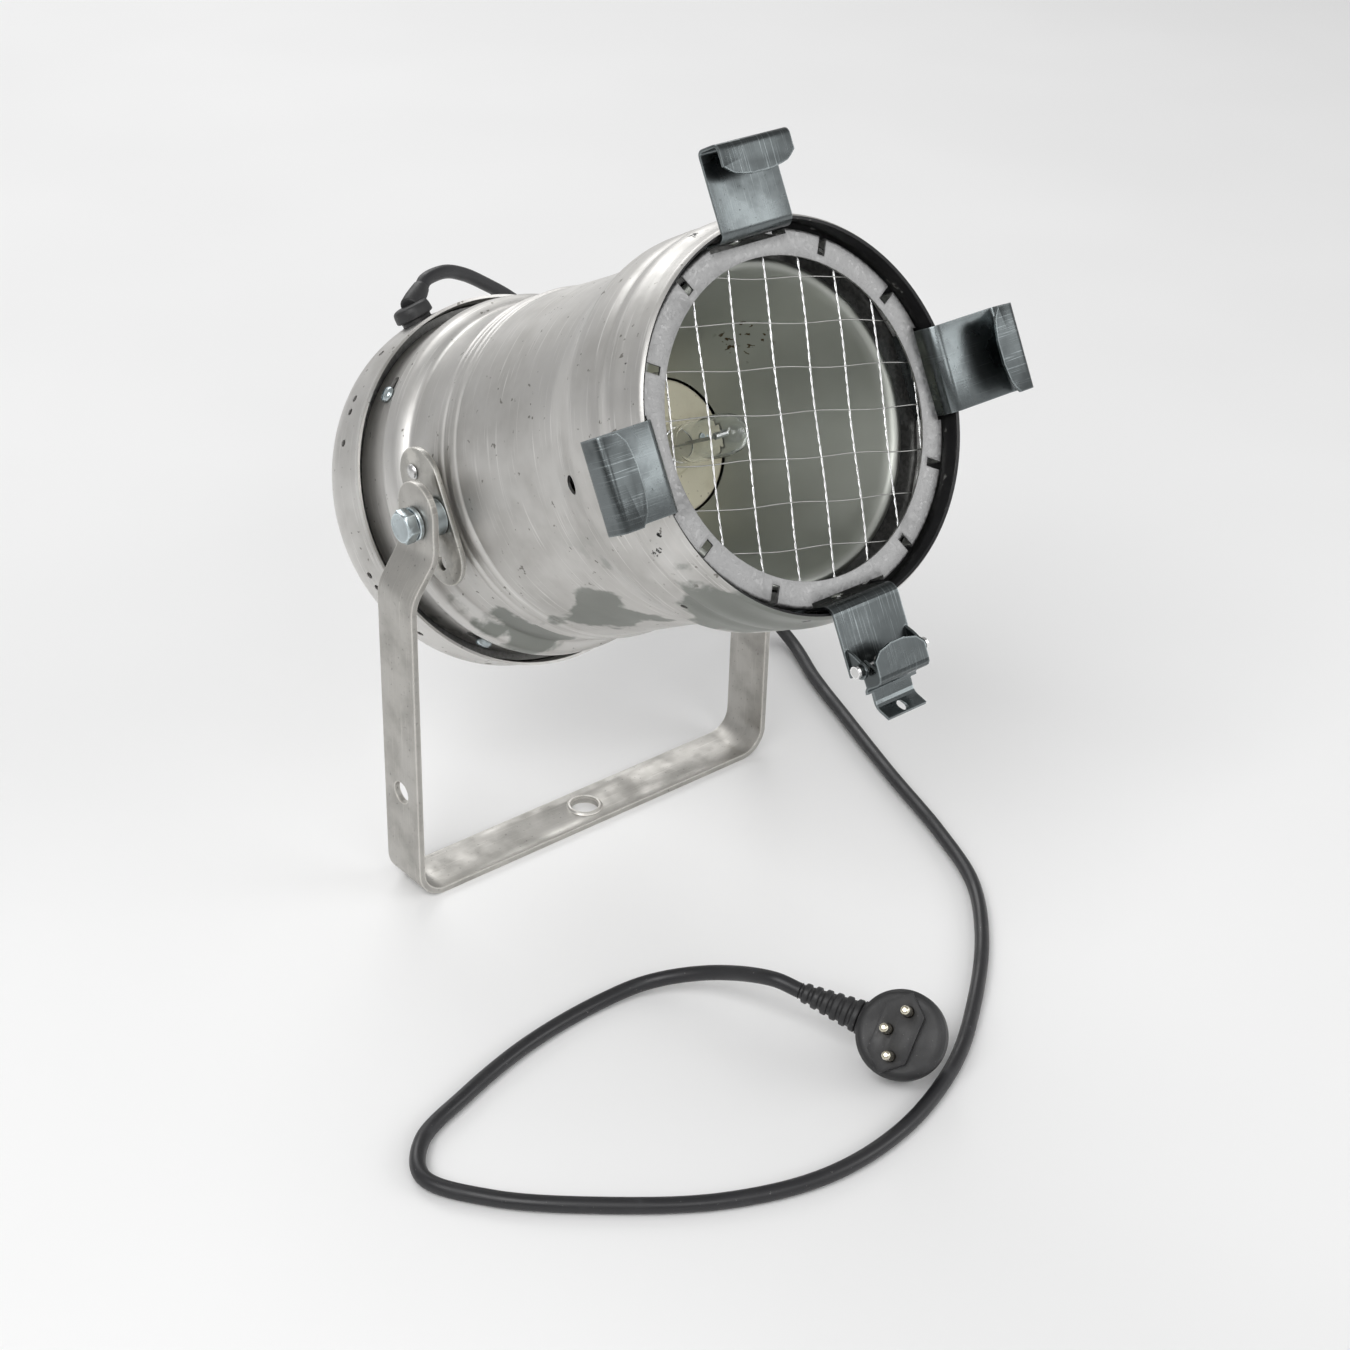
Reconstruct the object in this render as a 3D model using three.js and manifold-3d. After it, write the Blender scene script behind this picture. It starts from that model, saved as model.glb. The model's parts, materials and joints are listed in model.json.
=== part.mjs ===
// A small stage lamp: a spun aluminium can with a wire guard and gel-frame clips, held by two bolts in a
// U-shaped strap that also serves as its foot, with a mains cord and a three-pin plug lying on the floor.
// Millimetres, +Z up. The lamp shines towards -Y. The origin is under the middle of the part (cord left out).
import * as THREE from "three";
import { mergeVertices } from "three/addons/utils/BufferGeometryUtils.js";
import Module from "manifold-3d";

const wasm = await Module();
wasm.setup();

// ---- driving dimensions ----
const TILT = 28.65; // how far the can points above level, degrees
const PIVOT_Z = 180; // height of the two pivot bolts
const GAP = 0.3; // clearance between pieces that touch
const STRAP_W = 25; // yoke strap
const STRAP_T = 3;
const YOKE_HALF = 101.8; // outer half width of the yoke
const YOKE_CORNER = 14; // outer radius of its bottom bends
const JOGGLE = 12; // the arms step inwards this far below the bolts
const JOGGLE_Z = [150, 167];
const ARM_TOP = 198;
const SHEET = 1.2; // spun sheet of the can and the cap
const SEGMENTS = 28; // sides of every spun ring
const CAN_R = 74.4; // outer radius of the plain barrel
const SKIRT_R = 77.5; // the barrel's rear skirt, inside the cap
const CAP_R = 82.6; // outer radius of the rear cap
const RIM_S = 153.6; // s: distance in front of the pivot, along the can's axis
const CLIP_W = 35; // gel-frame clips
const CLIP_T = 1.2;
const CLIP_R = 105; // how far the clips reach from the axis
const RING_S = 147; // front face of the guard ring
const RING_R = [62.4, 72.9];
const MESH_PITCH = 17.25; // wire guard
const MESH_TURN = -12;
const REFLECTOR_RIM = [131.5, 62.4];
const REFLECTOR_HOLE = [60, 29.4];
const BOOT_AT = [-70.6, -12.5]; // where the cord leaves the cap: s, and degrees from the top
const BOOT_NOSE = 14; // length of the boot's tapered nose
const CORD_D = 6.4;
const PIN_SPACING = 19; // outer pins of the plug
const PIN_OFFSET = 5; // how far the earth pin stands from their line

// ---- materials ----
const paint = (color, roughness, metalness) => () =>
  new THREE.MeshStandardMaterial({ color, roughness, metalness });
const spun = paint(0xb4b2ad, 0.35, 0.95);
const strap = paint(0x9d9b96, 0.45, 0.9);
const zinc = paint(0xaab0b0, 0.35, 0.9);
const galvanised = paint(0x9a9a98, 0.55, 0.8);
const bright = paint(0xd0d0cc, 0.25, 0.95);
const satin = paint(0x8f9089, 0.4, 0.85);
const ceramic = paint(0xd9d3b4, 0.6, 0);
const glass = paint(0xf2f6f6, 0.05, 0);
const black = paint(0x161616, 0.55, 0);
const brass = paint(0xb99a55, 0.35, 0.9);
const silicone = paint(0xe8e4da, 0.6, 0);
const tungsten = paint(0x4b4b4e, 0.4, 0.8);

// ---- solids ----
const v3 = (x, y, z) => new THREE.Vector3(x, y, z);

function solid(geometry) {
  const g = geometry.clone();
  g.deleteAttribute("normal");
  g.deleteAttribute("uv");
  const m = mergeVertices(g, 1e-4);
  return new wasm.Manifold(
    new wasm.Mesh({
      numProp: 3,
      vertProperties: m.attributes.position.array,
      triVerts: new Uint32Array(m.index.array),
    }),
  );
}

function geometryOf(manifold) {
  const mesh = manifold.getMesh();
  const g = new THREE.BufferGeometry();
  g.setAttribute("position", new THREE.BufferAttribute(new Float32Array(mesh.vertProperties), 3));
  g.setIndex(new THREE.BufferAttribute(new Uint32Array(mesh.triVerts), 1));
  return g;
}

const cut = (body, ...tools) =>
  geometryOf(tools.reduce((left, tool) => left.subtract(solid(tool)), solid(body)));
const join = (...bodies) => geometryOf(bodies.map(solid).reduce((all, one) => all.add(one)));
const common = (a, b) => geometryOf(solid(a).intersect(solid(b)));

// Rounds the inner corners of an open line of [a, b] points.
function rounded(points, radius, steps = 3) {
  const out = [points[0]];
  for (let i = 1; i < points.length - 1; i++) {
    const p = new THREE.Vector2(...points[i]);
    const back = new THREE.Vector2(...points[i - 1]).sub(p);
    const on = new THREE.Vector2(...points[i + 1]).sub(p);
    const reach = Math.min(radius, back.length() * 0.45, on.length() * 0.45);
    const from = p.clone().addScaledVector(back.normalize(), reach);
    const to = p.clone().addScaledVector(on.normalize(), reach);
    const bend = new THREE.QuadraticBezierCurve(from, p, to);
    bend.getPoints(steps).forEach((q) => out.push([q.x, q.y]));
  }
  out.push(points[points.length - 1]);
  return out;
}

// The outline of a sheet of thickness t whose middle follows an open line of [a, b] points.
function sheetOutline(points, t) {
  const p = points.map(([a, b]) => new THREE.Vector2(a, b));
  const side = (i) => p[i + 1].clone().sub(p[i]).normalize().rotateAround(new THREE.Vector2(), Math.PI / 2);
  const offset = p.map((_, i) => {
    const before = side(Math.max(i - 1, 0));
    const after = side(Math.min(i, p.length - 2));
    const mitre = before.clone().add(after).normalize();
    return mitre.divideScalar(Math.max(mitre.dot(after), 0.5)).multiplyScalar(t / 2);
  });
  const left = p.map((q, i) => q.clone().add(offset[i]));
  const right = p.map((q, i) => q.clone().sub(offset[i])).reverse();
  return left.concat(right);
}

// A body of revolution about the can's axis, from a closed outline of (s, r) points.
function revolve(outline, segments = SEGMENTS) {
  const pts = outline.map((q) => new THREE.Vector2(q.y ?? q[1], -(q.x ?? q[0])));
  if (THREE.ShapeUtils.area(pts) < 0) pts.reverse();
  const onAxis = pts.some((q) => q.x === 0);
  if (onAxis) {
    while (pts[0].x !== 0 || pts[pts.length - 1].x !== 0) pts.push(pts.shift());
  } else pts.push(pts[0].clone());
  return new THREE.LatheGeometry(pts, segments);
}

const spunShell = (line, t = SHEET) => revolve(sheetOutline(line, t));

// Puts (across, along, height) axes onto a flat outline and its thickness.
function plate(outline, thickness, xAxis, yAxis, centre = true) {
  const shape = outline instanceof THREE.Shape ? outline : new THREE.Shape(outline);
  const g = new THREE.ExtrudeGeometry(shape, { depth: thickness, bevelEnabled: false, curveSegments: 6 });
  if (centre) g.translate(0, 0, -thickness / 2);
  const zAxis = xAxis.clone().cross(yAxis);
  return g.applyMatrix4(new THREE.Matrix4().makeBasis(xAxis, yAxis, zAxis));
}

// A cylinder, or a cone, between two points.
function rod(from, to, r, sides = 16, rEnd = r) {
  const along = to.clone().sub(from);
  const g = new THREE.CylinderGeometry(rEnd, r, along.length(), sides);
  g.applyQuaternion(new THREE.Quaternion().setFromUnitVectors(v3(0, 1, 0), along.clone().normalize()));
  const mid = from.clone().add(to).multiplyScalar(0.5);
  return g.translate(mid.x, mid.y, mid.z);
}

function tube(curve, r, steps, sides = 8) {
  const shape = new THREE.Shape();
  for (let i = 0; i < sides; i++) {
    const a = (i / sides) * 2 * Math.PI;
    shape[i ? "lineTo" : "moveTo"](r * Math.cos(a), r * Math.sin(a));
  }
  return new THREE.ExtrudeGeometry(shape, { steps, bevelEnabled: false, extrudePath: curve });
}

const box = (x0, x1, y0, y1, z0, z1) =>
  new THREE.BoxGeometry(x1 - x0, y1 - y0, z1 - z0).translate((x0 + x1) / 2, (y0 + y1) / 2, (z0 + z1) / 2);

// ---- the can's own frame: level, pivot at the origin, front towards -Y ----
const SIDE = v3(1, 0, 0);
const FRONT = v3(0, -1, 0);
const UP = v3(0, 0, 1);
const radial = (roll) => v3(Math.sin((roll * Math.PI) / 180), 0, Math.cos((roll * Math.PI) / 180));
const onCan = (s, roll, r) => radial(roll).multiplyScalar(r).addScaledVector(FRONT, s);
const rolled = (g, roll) => g.clone().rotateY((roll * Math.PI) / 180);

const root = new THREE.Group();
root.name = "stage_lamp";

function place(name, geometry, material) {
  const m = new THREE.Mesh(geometry, material());
  m.name = name;
  root.add(m);
}
const onHead = (name, geometry, material) =>
  place(name, geometry.clone().rotateX((-TILT * Math.PI) / 180).translate(0, 0, PIVOT_Z), material);

// ---- yoke ----
function yoke() {
  const half = YOKE_HALF - STRAP_T / 2;
  const arm = (sign) => [
    [sign * (half - JOGGLE), ARM_TOP],
    [sign * (half - JOGGLE), JOGGLE_Z[1]],
    [sign * half, JOGGLE_Z[0]],
  ];
  const bends = rounded([...arm(-1), [-half, 60]], 5);
  const floorZ = STRAP_T / 2;
  const corner = (sign) => {
    const r = YOKE_CORNER - STRAP_T / 2;
    const out = [];
    for (let i = 0; i <= 6; i++) {
      const a = (i / 6) * (Math.PI / 2);
      out.push([sign * (half - r + r * Math.cos(a)), floorZ + r - r * Math.sin(a)]);
    }
    return out;
  };
  const line = [
    ...bends.slice(0, -1),
    ...corner(-1),
    ...corner(1).reverse(),
    ...bends.slice(0, -1).map(([x, z]) => [-x, z]).reverse(),
  ];
  const bar = plate(sheetOutline(line, STRAP_T), STRAP_W + 4, SIDE, UP);
  const side = new THREE.Shape();
  side.moveTo(-STRAP_W / 2, -1).lineTo(STRAP_W / 2, -1).lineTo(STRAP_W / 2, ARM_TOP - STRAP_W / 2);
  side.absarc(0, ARM_TOP - STRAP_W / 2, STRAP_W / 2, 0, Math.PI).lineTo(-STRAP_W / 2, -1);
  const trimmed = common(bar, plate(side, 2 * YOKE_HALF + 10, v3(0, 1, 0), UP));
  const collar = rod(v3(0, 0, 0.5), v3(0, 0, STRAP_T + 1), 8.6, 24, 8);
  return cut(
    join(trimmed, collar),
    rod(v3(-120, 0, PIVOT_Z), v3(120, 0, PIVOT_Z), 4.3, 24),
    rod(v3(-120, 0, 52), v3(-80, 0, 52), 5, 20),
    rod(v3(0, 0, -5), v3(0, 0, 9), 6.5, 24),
  );
}
place("yoke", yoke(), strap);

// ---- pivots: a hex bolt through yoke arm, spacer, side plate and can wall ----
const ARM_OUT = YOKE_HALF - JOGGLE; // outer face of the arm at the bolt
const PLATE_IN = CAN_R + 1.9; // inner face of the side plate
const PLATE_T = 2.5;
const washer = (s0, s1, rIn, rOut) => revolve([[s0, rIn], [s1, rIn], [s1, rOut], [s0, rOut]], 20);
const turned = (g, side) => g.clone().rotateZ((side * Math.PI) / 2); // s axis onto the bolt axis
const hexagon = Array.from({ length: 6 }, (_, i) =>
  new THREE.Vector2(7.5, 0).rotateAround(new THREE.Vector2(), (i * Math.PI) / 3));
function hexBolt(headIn, length) {
  const head = plate(hexagon, 5.2, SIDE, UP, false).translate(0, -headIn, 0);
  return join(head, rod(v3(0, -headIn - 1, 0), v3(0, -headIn + length, 0), 4, 20));
}
function hexNut(s0, s1) {
  const body = plate(hexagon, s1 - s0, SIDE, UP, false).translate(0, -s0, 0);
  return cut(body, rod(v3(0, -s0 + 1, 0), v3(0, -s1 - 1, 0), 4.3, 20));
}
function springWasher(s0, s1) {
  const ring = washer(s0, s1, 4.4, 7.2);
  return cut(ring, box(4, 8, -s1 - 1, -s0 + 1, -0.6, 0.6));
}
const SIDES = { left: -1, right: 1 }; // the sign of x
for (const [label, side] of Object.entries(SIDES)) {
  // s grows outwards along the bolt here
  const put = (name, g, m) => onHead(`${label}_${name}`, turned(g, side), m);
  put("arm_bolt", hexBolt(ARM_OUT + GAP + 2 + GAP, 34), zinc);
  put("spring_washer", springWasher(ARM_OUT + GAP, ARM_OUT + GAP + 2), zinc);
  put("spacer", washer(PLATE_IN + PLATE_T + GAP, ARM_OUT - STRAP_T - GAP, 4.3, 8), zinc);
  put("inner_washer", washer(CAN_R - 3.9, CAN_R - 2.3, 4.3, 8), zinc);
  put("nut", hexNut(CAN_R - 10.7, CAN_R - 4.2), zinc);
}

// ---- side plates, one each side, riveted to the barrel ----
const PLATE_S = -6;
function sidePlate(side) {
  const outline = new THREE.Shape();
  outline.absarc(0, 16, 14, 0, Math.PI).absarc(0, -16, 14, Math.PI, 2 * Math.PI);
  const body = plate(outline, PLATE_T, FRONT, UP);
  const x = side * (PLATE_IN + PLATE_T / 2);
  const holes = [[0, 0, 4.3], [-2.6, 20, 2.1], [-2.6, -20, 3]].map(([s, z, r]) =>
    rod(v3(side * 60, -(s + (z ? PLATE_S : 0)), z), v3(side * 100, -(s + (z ? PLATE_S : 0)), z), r, 16),
  );
  return cut(body.translate(x, -PLATE_S, 0), ...holes);
}
const rivet = (rIn, rOut, shank = 1.8, head = 3.4) =>
  revolve([
    [rIn - 1.3, 0], [rIn, 2.9], [rIn, shank], [rOut, shank], [rOut, head], [rOut + 1.2, head * 0.7],
    [rOut + 1.6, 0],
  ], 12);
const barrelAt = (z) => Math.sqrt((CAN_R - SHEET) ** 2 - z ** 2);
for (const [label, side] of Object.entries(SIDES)) {
  onHead(`${label}_side_plate`, sidePlate(side), strap);
  const g = turned(rivet(barrelAt(22.2) - GAP - 0.3, PLATE_IN + PLATE_T + GAP), side);
  onHead(`${label}_plate_rivet`, g.translate(0, -(PLATE_S - 2.6), 20), bright);
}

// ---- front housing ----
// The middle of the sheet, from the skirt inside the cap to the rolled rim.
const bead = (s, r, h, w) => [[s - w, r], [s, r + h], [s + w, r]];
const T2 = SHEET / 2;
const housingLine = [
  [-60, SKIRT_R - T2], [-40, SKIRT_R - T2], [-37, 79.6], [-29, 79], [-25.5, 77], [-22, CAN_R - T2],
  ...bead(3, CAN_R - T2, 1.3, 3), ...bead(13, CAN_R - T2, 1.3, 3), [20, CAN_R - T2],
  [58, CAN_R - 1 - T2], [88, CAN_R - 0.4 - T2], [98, 75.4], [108, 79], [124, 79.3], [128.5, 78], [133, 79.5],
  [138, 79.5], [144, 77.4], [151.5, 76.9], [153, 75.8],
];
function cross(s, roll, r, hole, sides = 16) {
  return rod(onCan(s, roll, r - 8), onCan(s, roll, r + 8), hole, sides);
}
const CAP_SCREWS = [-47, 47, 142, -142];
const SCREW_S = -47;
const slot = (roll) => {
  // an arc-shaped slot in the skirt, one end at the screw
  const spots = [0, 2.6, 5.2].map((d) => cross(SCREW_S, roll + Math.sign(roll) * -d, SKIRT_R, 2.4, 8));
  return join(...spots);
};
const CLIP_ROLLS = { top: 0, right: 90, bottom: 180, left: -90 };
const RIVET_S = 139;
const housing = cut(
  spunShell(housingLine),
  ...CAP_SCREWS.map(slot),
  rod(v3(-90, 0, 0), v3(90, 0, 0), 4.3, 20), // pivot bolts
  ...[-1, 1].map((x) => rod(v3(x * 60, -(PLATE_S - 2.6), 20), v3(x * 90, -(PLATE_S - 2.6), 20), 2.1, 14)),
  ...[-89.5, 89.5].map((roll) => cross(99, roll, 75, 3.9, 14)), // vent hole, each side
  ...Object.values(CLIP_ROLLS).map((roll) => cross(RIVET_S, roll, 78, 2.1, 8)),
  ...[-134, 134].map((roll) => cross(120, roll, 78, 1.5, 8)),
);
onHead("front_housing", housing, spun);

// ---- rear cap, its inner collar and the screws ----
const capLine = [
  [-52.8, CAP_R + 0.3], [-54.5, CAP_R + 0.3], [-56.5, CAP_R - T2], [-75, CAP_R - T2], [-80, 81], [-85, 78.6],
  [-88.6, 75], [-90.4, 70], [-91, 64], [-90.6, 58], [-88, 55.5], [-87, 52], [-87, 20], [-88, 16], [-90, 12],
  [-90.4, 0],
];
// A spun dish closes on the axis: outer skin out, inner skin back.
function dish(line, t, segments = SEGMENTS) {
  const skin = sheetOutline(line, t);
  return revolve(skin.map((q) => (Math.abs(q.y) < t ? new THREE.Vector2(q.x, 0) : q)), segments);
}
const VENT_S = -69;
const VENTS = [30, 47.5, 52, 62, 103.5, 108, 128, 154];
const bootCore = (r) => onCan(...BOOT_AT, r);
const noseAxis = v3(0.785, 0.29, 0.54).normalize(); // sideways, the way the cord pulls it
const noseAt = (d) => bootCore(CAP_R + 6.7).addScaledVector(noseAxis, d);
const cap = cut(
  dish(capLine, SHEET),
  ...VENTS.flatMap((roll) => [cross(VENT_S, roll, CAP_R, 1.6, 8), cross(VENT_S, -roll, CAP_R, 1.6, 8)]),
  rod(bootCore(CAP_R - 10), bootCore(CAP_R + 5), 7.4, 16),
);
onHead("rear_cap", cap, spun);

const collarLine = [[-42, 75.2], [-61.6, 75.2], [-62.6, 76.4], [-62.6, 80.6]];
const collar = cut(spunShell(collarLine), ...CAP_SCREWS.map((roll) => cross(SCREW_S, roll, 75, 2.2, 8)));
onHead("cap_collar", collar, galvanised);
const screw = revolve([
  [71, 0], [71, 2], [SKIRT_R + GAP, 2], [SKIRT_R + GAP, 3.7], [SKIRT_R + 1.6, 3.7], [SKIRT_R + 2.5, 2.9],
  [SKIRT_R + 2.8, 0],
], 12).rotateX(-Math.PI / 2);
CAP_SCREWS.forEach((roll, i) => {
  const head = cut(screw, box(-2.6, 2.6, -0.4, 0.4, SKIRT_R + 1.9, SKIRT_R + 4));
  onHead(`cap_screw_${i + 1}`, rolled(head, roll).translate(0, -SCREW_S, 0), zinc);
});

// ---- cord boot: a rubber elbow through the cap wall, its nose tapered to the cord ----
onHead("cable_boot", join(
  rod(bootCore(CAP_R - 8), bootCore(CAP_R + 3), 6.9, 16),
  rod(bootCore(CAP_R + 2), bootCore(CAP_R + 6), 8.8, 16, 8.6),
  rod(bootCore(CAP_R + 5.9), bootCore(CAP_R + 8), 8.6, 16, 7.4),
  rod(noseAt(0), noseAt(BOOT_NOSE), 5, 16, 3.9),
), black);

// ---- reflector, its carrier ring and the retaining wire ----
const [rimS, rimR] = REFLECTOR_RIM;
const [holeS, holeR] = REFLECTOR_HOLE;
const bowl = [];
for (let i = 0; i <= 6; i++) {
  const r = holeR + ((rimR - 2 - holeR) * i) / 6;
  bowl.push([holeS + ((rimS - 2 - holeS) * (r * r - holeR * holeR)) / ((rimR - 2) ** 2 - holeR ** 2), r]);
}
const reflectorLine = [...bowl, [rimS - 0.6, rimR - 1], [rimS, rimR + 0.6], [rimS - 0.9, rimR + 1.8]];
onHead("reflector", spunShell(reflectorLine, 1), satin);
const carrierLine = [[rimS - 3.2, 64.8], [rimS - 3.2, 76.2], [rimS - 9.5, 76.4]];
onHead("lamp_ring", spunShell(carrierLine, 1), galvanised);
const wireRing = revolve(
  Array.from({ length: 6 }, (_, i) => [
    rimS - 1.3 + Math.cos((i * Math.PI) / 3), 75.6 + Math.sin((i * Math.PI) / 3),
  ]));
onHead("retaining_ring", cut(wireRing, box(-5, 5, -rimS - 8, -rimS + 4, -80, -70)), bright);

// ---- lamp holder and bulb ----
const screwSpots = [-19, 19];
const ceramicDisc = revolve([
  [holeS - 7, 0], [holeS - 7, holeR - 1], [holeS - 0.8, holeR - 1], [holeS, holeR - 2], [holeS, 12.5],
  [holeS + 2, 11.5], [holeS + 2, 0],
], 28);
const pinHoles = [-4.75, 4.75].map((x) => rod(v3(x, -(holeS - 30), 0), v3(x, -(holeS + 6), 0), 1.9, 12));
onHead("ceramic_base", cut(
  ceramicDisc, ...pinHoles,
  ...screwSpots.map((x) => rod(v3(x, -(holeS - 9), 0), v3(x, -(holeS + 3), 0), 2.1, 12)),
), ceramic);
const BLOCK_S = holeS - 7 - GAP;
const block = join(
  box(-25, 25, -BLOCK_S, -BLOCK_S + 5, -9, 9),
  box(-14, 14, -BLOCK_S + 4, -BLOCK_S + 26, -9, 9),
);
onHead("lamp_holder", cut(
  block, ...pinHoles,
  ...screwSpots.map((x) => rod(v3(x, -BLOCK_S - 2, 0), v3(x, -BLOCK_S + 7, 0), 2.1, 12)),
), ceramic);
screwSpots.forEach((x, i) => {
  const s0 = BLOCK_S - 5 - GAP;
  onHead(`holder_screw_${i + 1}`, revolve([
    [s0 - 2.4, 0], [s0 - 2.4, 3], [s0, 3.6], [s0, 1.8], [holeS + 0.8, 1.8], [holeS + 0.8, 0],
  ], 14).translate(x, 0, 0), zinc);
});
const BULB_S = holeS + 2 + GAP;
onHead("bulb_base", join(
  revolve([[BULB_S, 0], [BULB_S, 9], [BULB_S + 5, 9], [BULB_S + 6, 8], [BULB_S + 6, 0]], 24),
  ...[-4.75, 4.75].map((x) => rod(v3(x, -(BULB_S - 16), 0), v3(x, -(BULB_S + 1), 0), 1.5, 10)),
), ceramic);
const G0 = BULB_S + 6 + GAP;
const glassLine = [
  [G0, 7], [G0 + 6, 7.2], [G0 + 10, 8.2], [G0 + 32, 8.2], [G0 + 37, 7], [G0 + 40, 4.4], [G0 + 41.2, 2], [G0 + 43, 0],
];
onHead("bulb_glass", dish(glassLine, 1, 16), glass);
const wirePath = new THREE.CatmullRomCurve3([
  [-3.4, G0 + 0.3, 0], [-3.4, G0 + 12, 0], [-3.8, G0 + 24, 0], [-3.2, G0 + 28, 0.2], [0, G0 + 28.6, 1.4],
  [3.2, G0 + 28, 0.2], [3.8, G0 + 24, 0], [3.4, G0 + 12, 0], [3.4, G0 + 0.3, 0],
].map(([x, s, z]) => v3(x, -s, z)));
onHead("filament", join(
  tube(wirePath, 0.5, 24, 5), rod(v3(-3, -G0 - 28.3, 0.4), v3(3, -G0 - 28.3, 0.4), 1.4, 10),
), tungsten);

// ---- guard ring and wire guard ----
const ringLine = [[RING_S - 8, RING_R[1] - 0.5], [RING_S - 0.5, RING_R[1] - 0.5], [RING_S - 0.5, RING_R[0]]];
const ringSlots = [30, 60, 120, 150, -30, -60, -120, -150].map((roll) =>
  rolled(box(-1.6, 1.6, -RING_S - 2, -RING_S + 12, 65.6, 76), roll));
const ringNotches = Object.values(CLIP_ROLLS).map((roll) =>
  rolled(box(-CLIP_W / 2 - 1.4, CLIP_W / 2 + 1.4, -RING_S - 2, -RING_S + 12, 68.4, 76), roll));
onHead("guard_ring", cut(spunShell(ringLine, 1), ...ringSlots, ...ringNotches), galvanised);

const MESH_S = RING_S - 1 - GAP - 1.2;
const wires = [];
const MESH_R = 67;
for (let k = 0; k < 8; k++) {
  const a = (k - 3.5) * MESH_PITCH + 2;
  const half = Math.sqrt(MESH_R ** 2 - a ** 2);
  wires.push(box(a - 0.7, a + 0.7, -MESH_S - 0.7, -MESH_S + 0.7, -half, half));
}
for (let k = -3; k <= 3; k++) {
  const a = k * MESH_PITCH + 2.4;
  const half = Math.sqrt(MESH_R ** 2 - a ** 2);
  wires.push(box(-half, half, -MESH_S - 0.5, -MESH_S + 0.5, a - 0.5, a + 0.5));
}
onHead("wire_guard", rolled(join(...wires), -MESH_TURN), bright);

// ---- gel-frame clips: foot inside the rim, wall outwards, channel and lip ----
const FOOT_R = 71.2; // middle of the foot
const WALL_S = RIM_S + GAP + 0.3 + CLIP_T / 2;
const CHANNEL = 11.5; // room for the frame
const CLIP_FOOT = [[RIVET_S - 8, FOOT_R], [RIM_S - 1.2, FOOT_R], [WALL_S, 73.6]];
function clip(line, width = CLIP_W) {
  return plate(sheetOutline(rounded(line, 2.5), CLIP_T), width, FRONT, UP);
}
const rivetHole = rod(v3(0, -RIVET_S, 60), v3(0, -RIVET_S, 76), 2.1, 14);
// Cuts the lower corners of a lip of half width w away, so that its edge bows down in the middle.
function lipCorners(w, edge) {
  return [-1, 1].map((side) => {
    const wedge = new THREE.Shape();
    wedge.moveTo(side * (w + 2), edge + 6.4).lineTo(side * w * 0.98, edge + 4.6).lineTo(side * w * 0.74, edge + 1.6);
    wedge.lineTo(side * w * 0.3, edge + 0.2).lineTo(side * w * 0.3, edge - 3).lineTo(side * (w + 2), edge - 3);
    return plate(wedge, 6, SIDE, UP).translate(0, -WALL_S - CHANNEL, 0);
  });
}
function fixedClip() {
  const lipS = WALL_S + CHANNEL;
  const body = clip([
    ...CLIP_FOOT, [WALL_S, CLIP_R], [lipS, CLIP_R], [lipS, CLIP_R - 13],
  ]);
  return cut(body, rivetHole, ...lipCorners(CLIP_W / 2, CLIP_R - 13));
}
const clipRivet = rivet(FOOT_R - CLIP_T / 2 - GAP, 80.6, 1.8, 3.2).rotateX(-Math.PI / 2).translate(0, -RIVET_S, 0);
for (const side of ["top", "left", "right"]) {
  onHead(`${side}_clip`, rolled(fixedClip(), CLIP_ROLLS[side]), zinc);
}
for (const side of Object.keys(CLIP_ROLLS)) {
  onHead(`${side}_clip_rivet`, rolled(clipRivet, CLIP_ROLLS[side]), bright);
}

// ---- the fourth clip is a sprung latch that lets the gel frame out ----
const PIN_S = WALL_S + 5.2;
const PIN_R = 97;
const EAR_X = 15.5;
function latchBracket() {
  const wall = clip([...CLIP_FOOT, [WALL_S, 99.4]], CLIP_W - 1);
  const ear = new THREE.Shape();
  ear.moveTo(WALL_S, 88).lineTo(WALL_S + 4, 91).absarc(PIN_S, PIN_R, 3.6, -1.2, 1.9).lineTo(WALL_S, 99);
  const ears = [-1, 1].map((x) => plate(ear, CLIP_T, FRONT, UP).translate(x * EAR_X, 0, 0));
  const pin = rod(v3(-30, -PIN_S, PIN_R), v3(30, -PIN_S, PIN_R), 1.7, 16);
  return cut(join(wall, ...ears), rivetHole, pin);
}
function latchLever() {
  const lipS = WALL_S + CHANNEL;
  const channel = clip([[lipS, 90], [lipS, 103.6], [WALL_S + 1.6, 105.2], [WALL_S + 1, 113.5], [WALL_S + 6.5, 118.5]], 26);
  const cheek = new THREE.Shape();
  cheek.moveTo(lipS, 103).lineTo(WALL_S + 2.5, 104.8).lineTo(WALL_S + 2.2, 97).absarc(PIN_S, PIN_R, 3, Math.PI, 1.5 * Math.PI);
  cheek.lineTo(lipS, 99);
  const cheeks = [-1, 1].map((x) => plate(cheek, CLIP_T, FRONT, UP).translate(x * 12.4, 0, 0));
  const tabTrim = [-1, 1].map((x) =>
    box(-5, 5, -WALL_S - 12, -WALL_S + 3, 107.5, 122).translate(x * 15, 0, 0));
  return cut(
    join(channel, ...cheeks), ...tabTrim, ...lipCorners(13, 90),
    rod(v3(-30, -PIN_S, PIN_R), v3(30, -PIN_S, PIN_R), 1.8, 16),
    rod(v3(0, -WALL_S - 20, 116), v3(0, -WALL_S + 10, 116), 2, 14),
  );
}
const down = (g) => rolled(g, CLIP_ROLLS.bottom);
onHead("latch_bracket", down(latchBracket()), zinc);
onHead("latch_lever", down(latchLever()), zinc);
const pinProfile = [[-18.6, 0], [-18.6, 2.6], [-17.4, 2.6], [-17.4, 1.5], [17.4, 1.5], [17.4, 2.6], [18.6, 2.6], [18.6, 0]];
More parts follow.
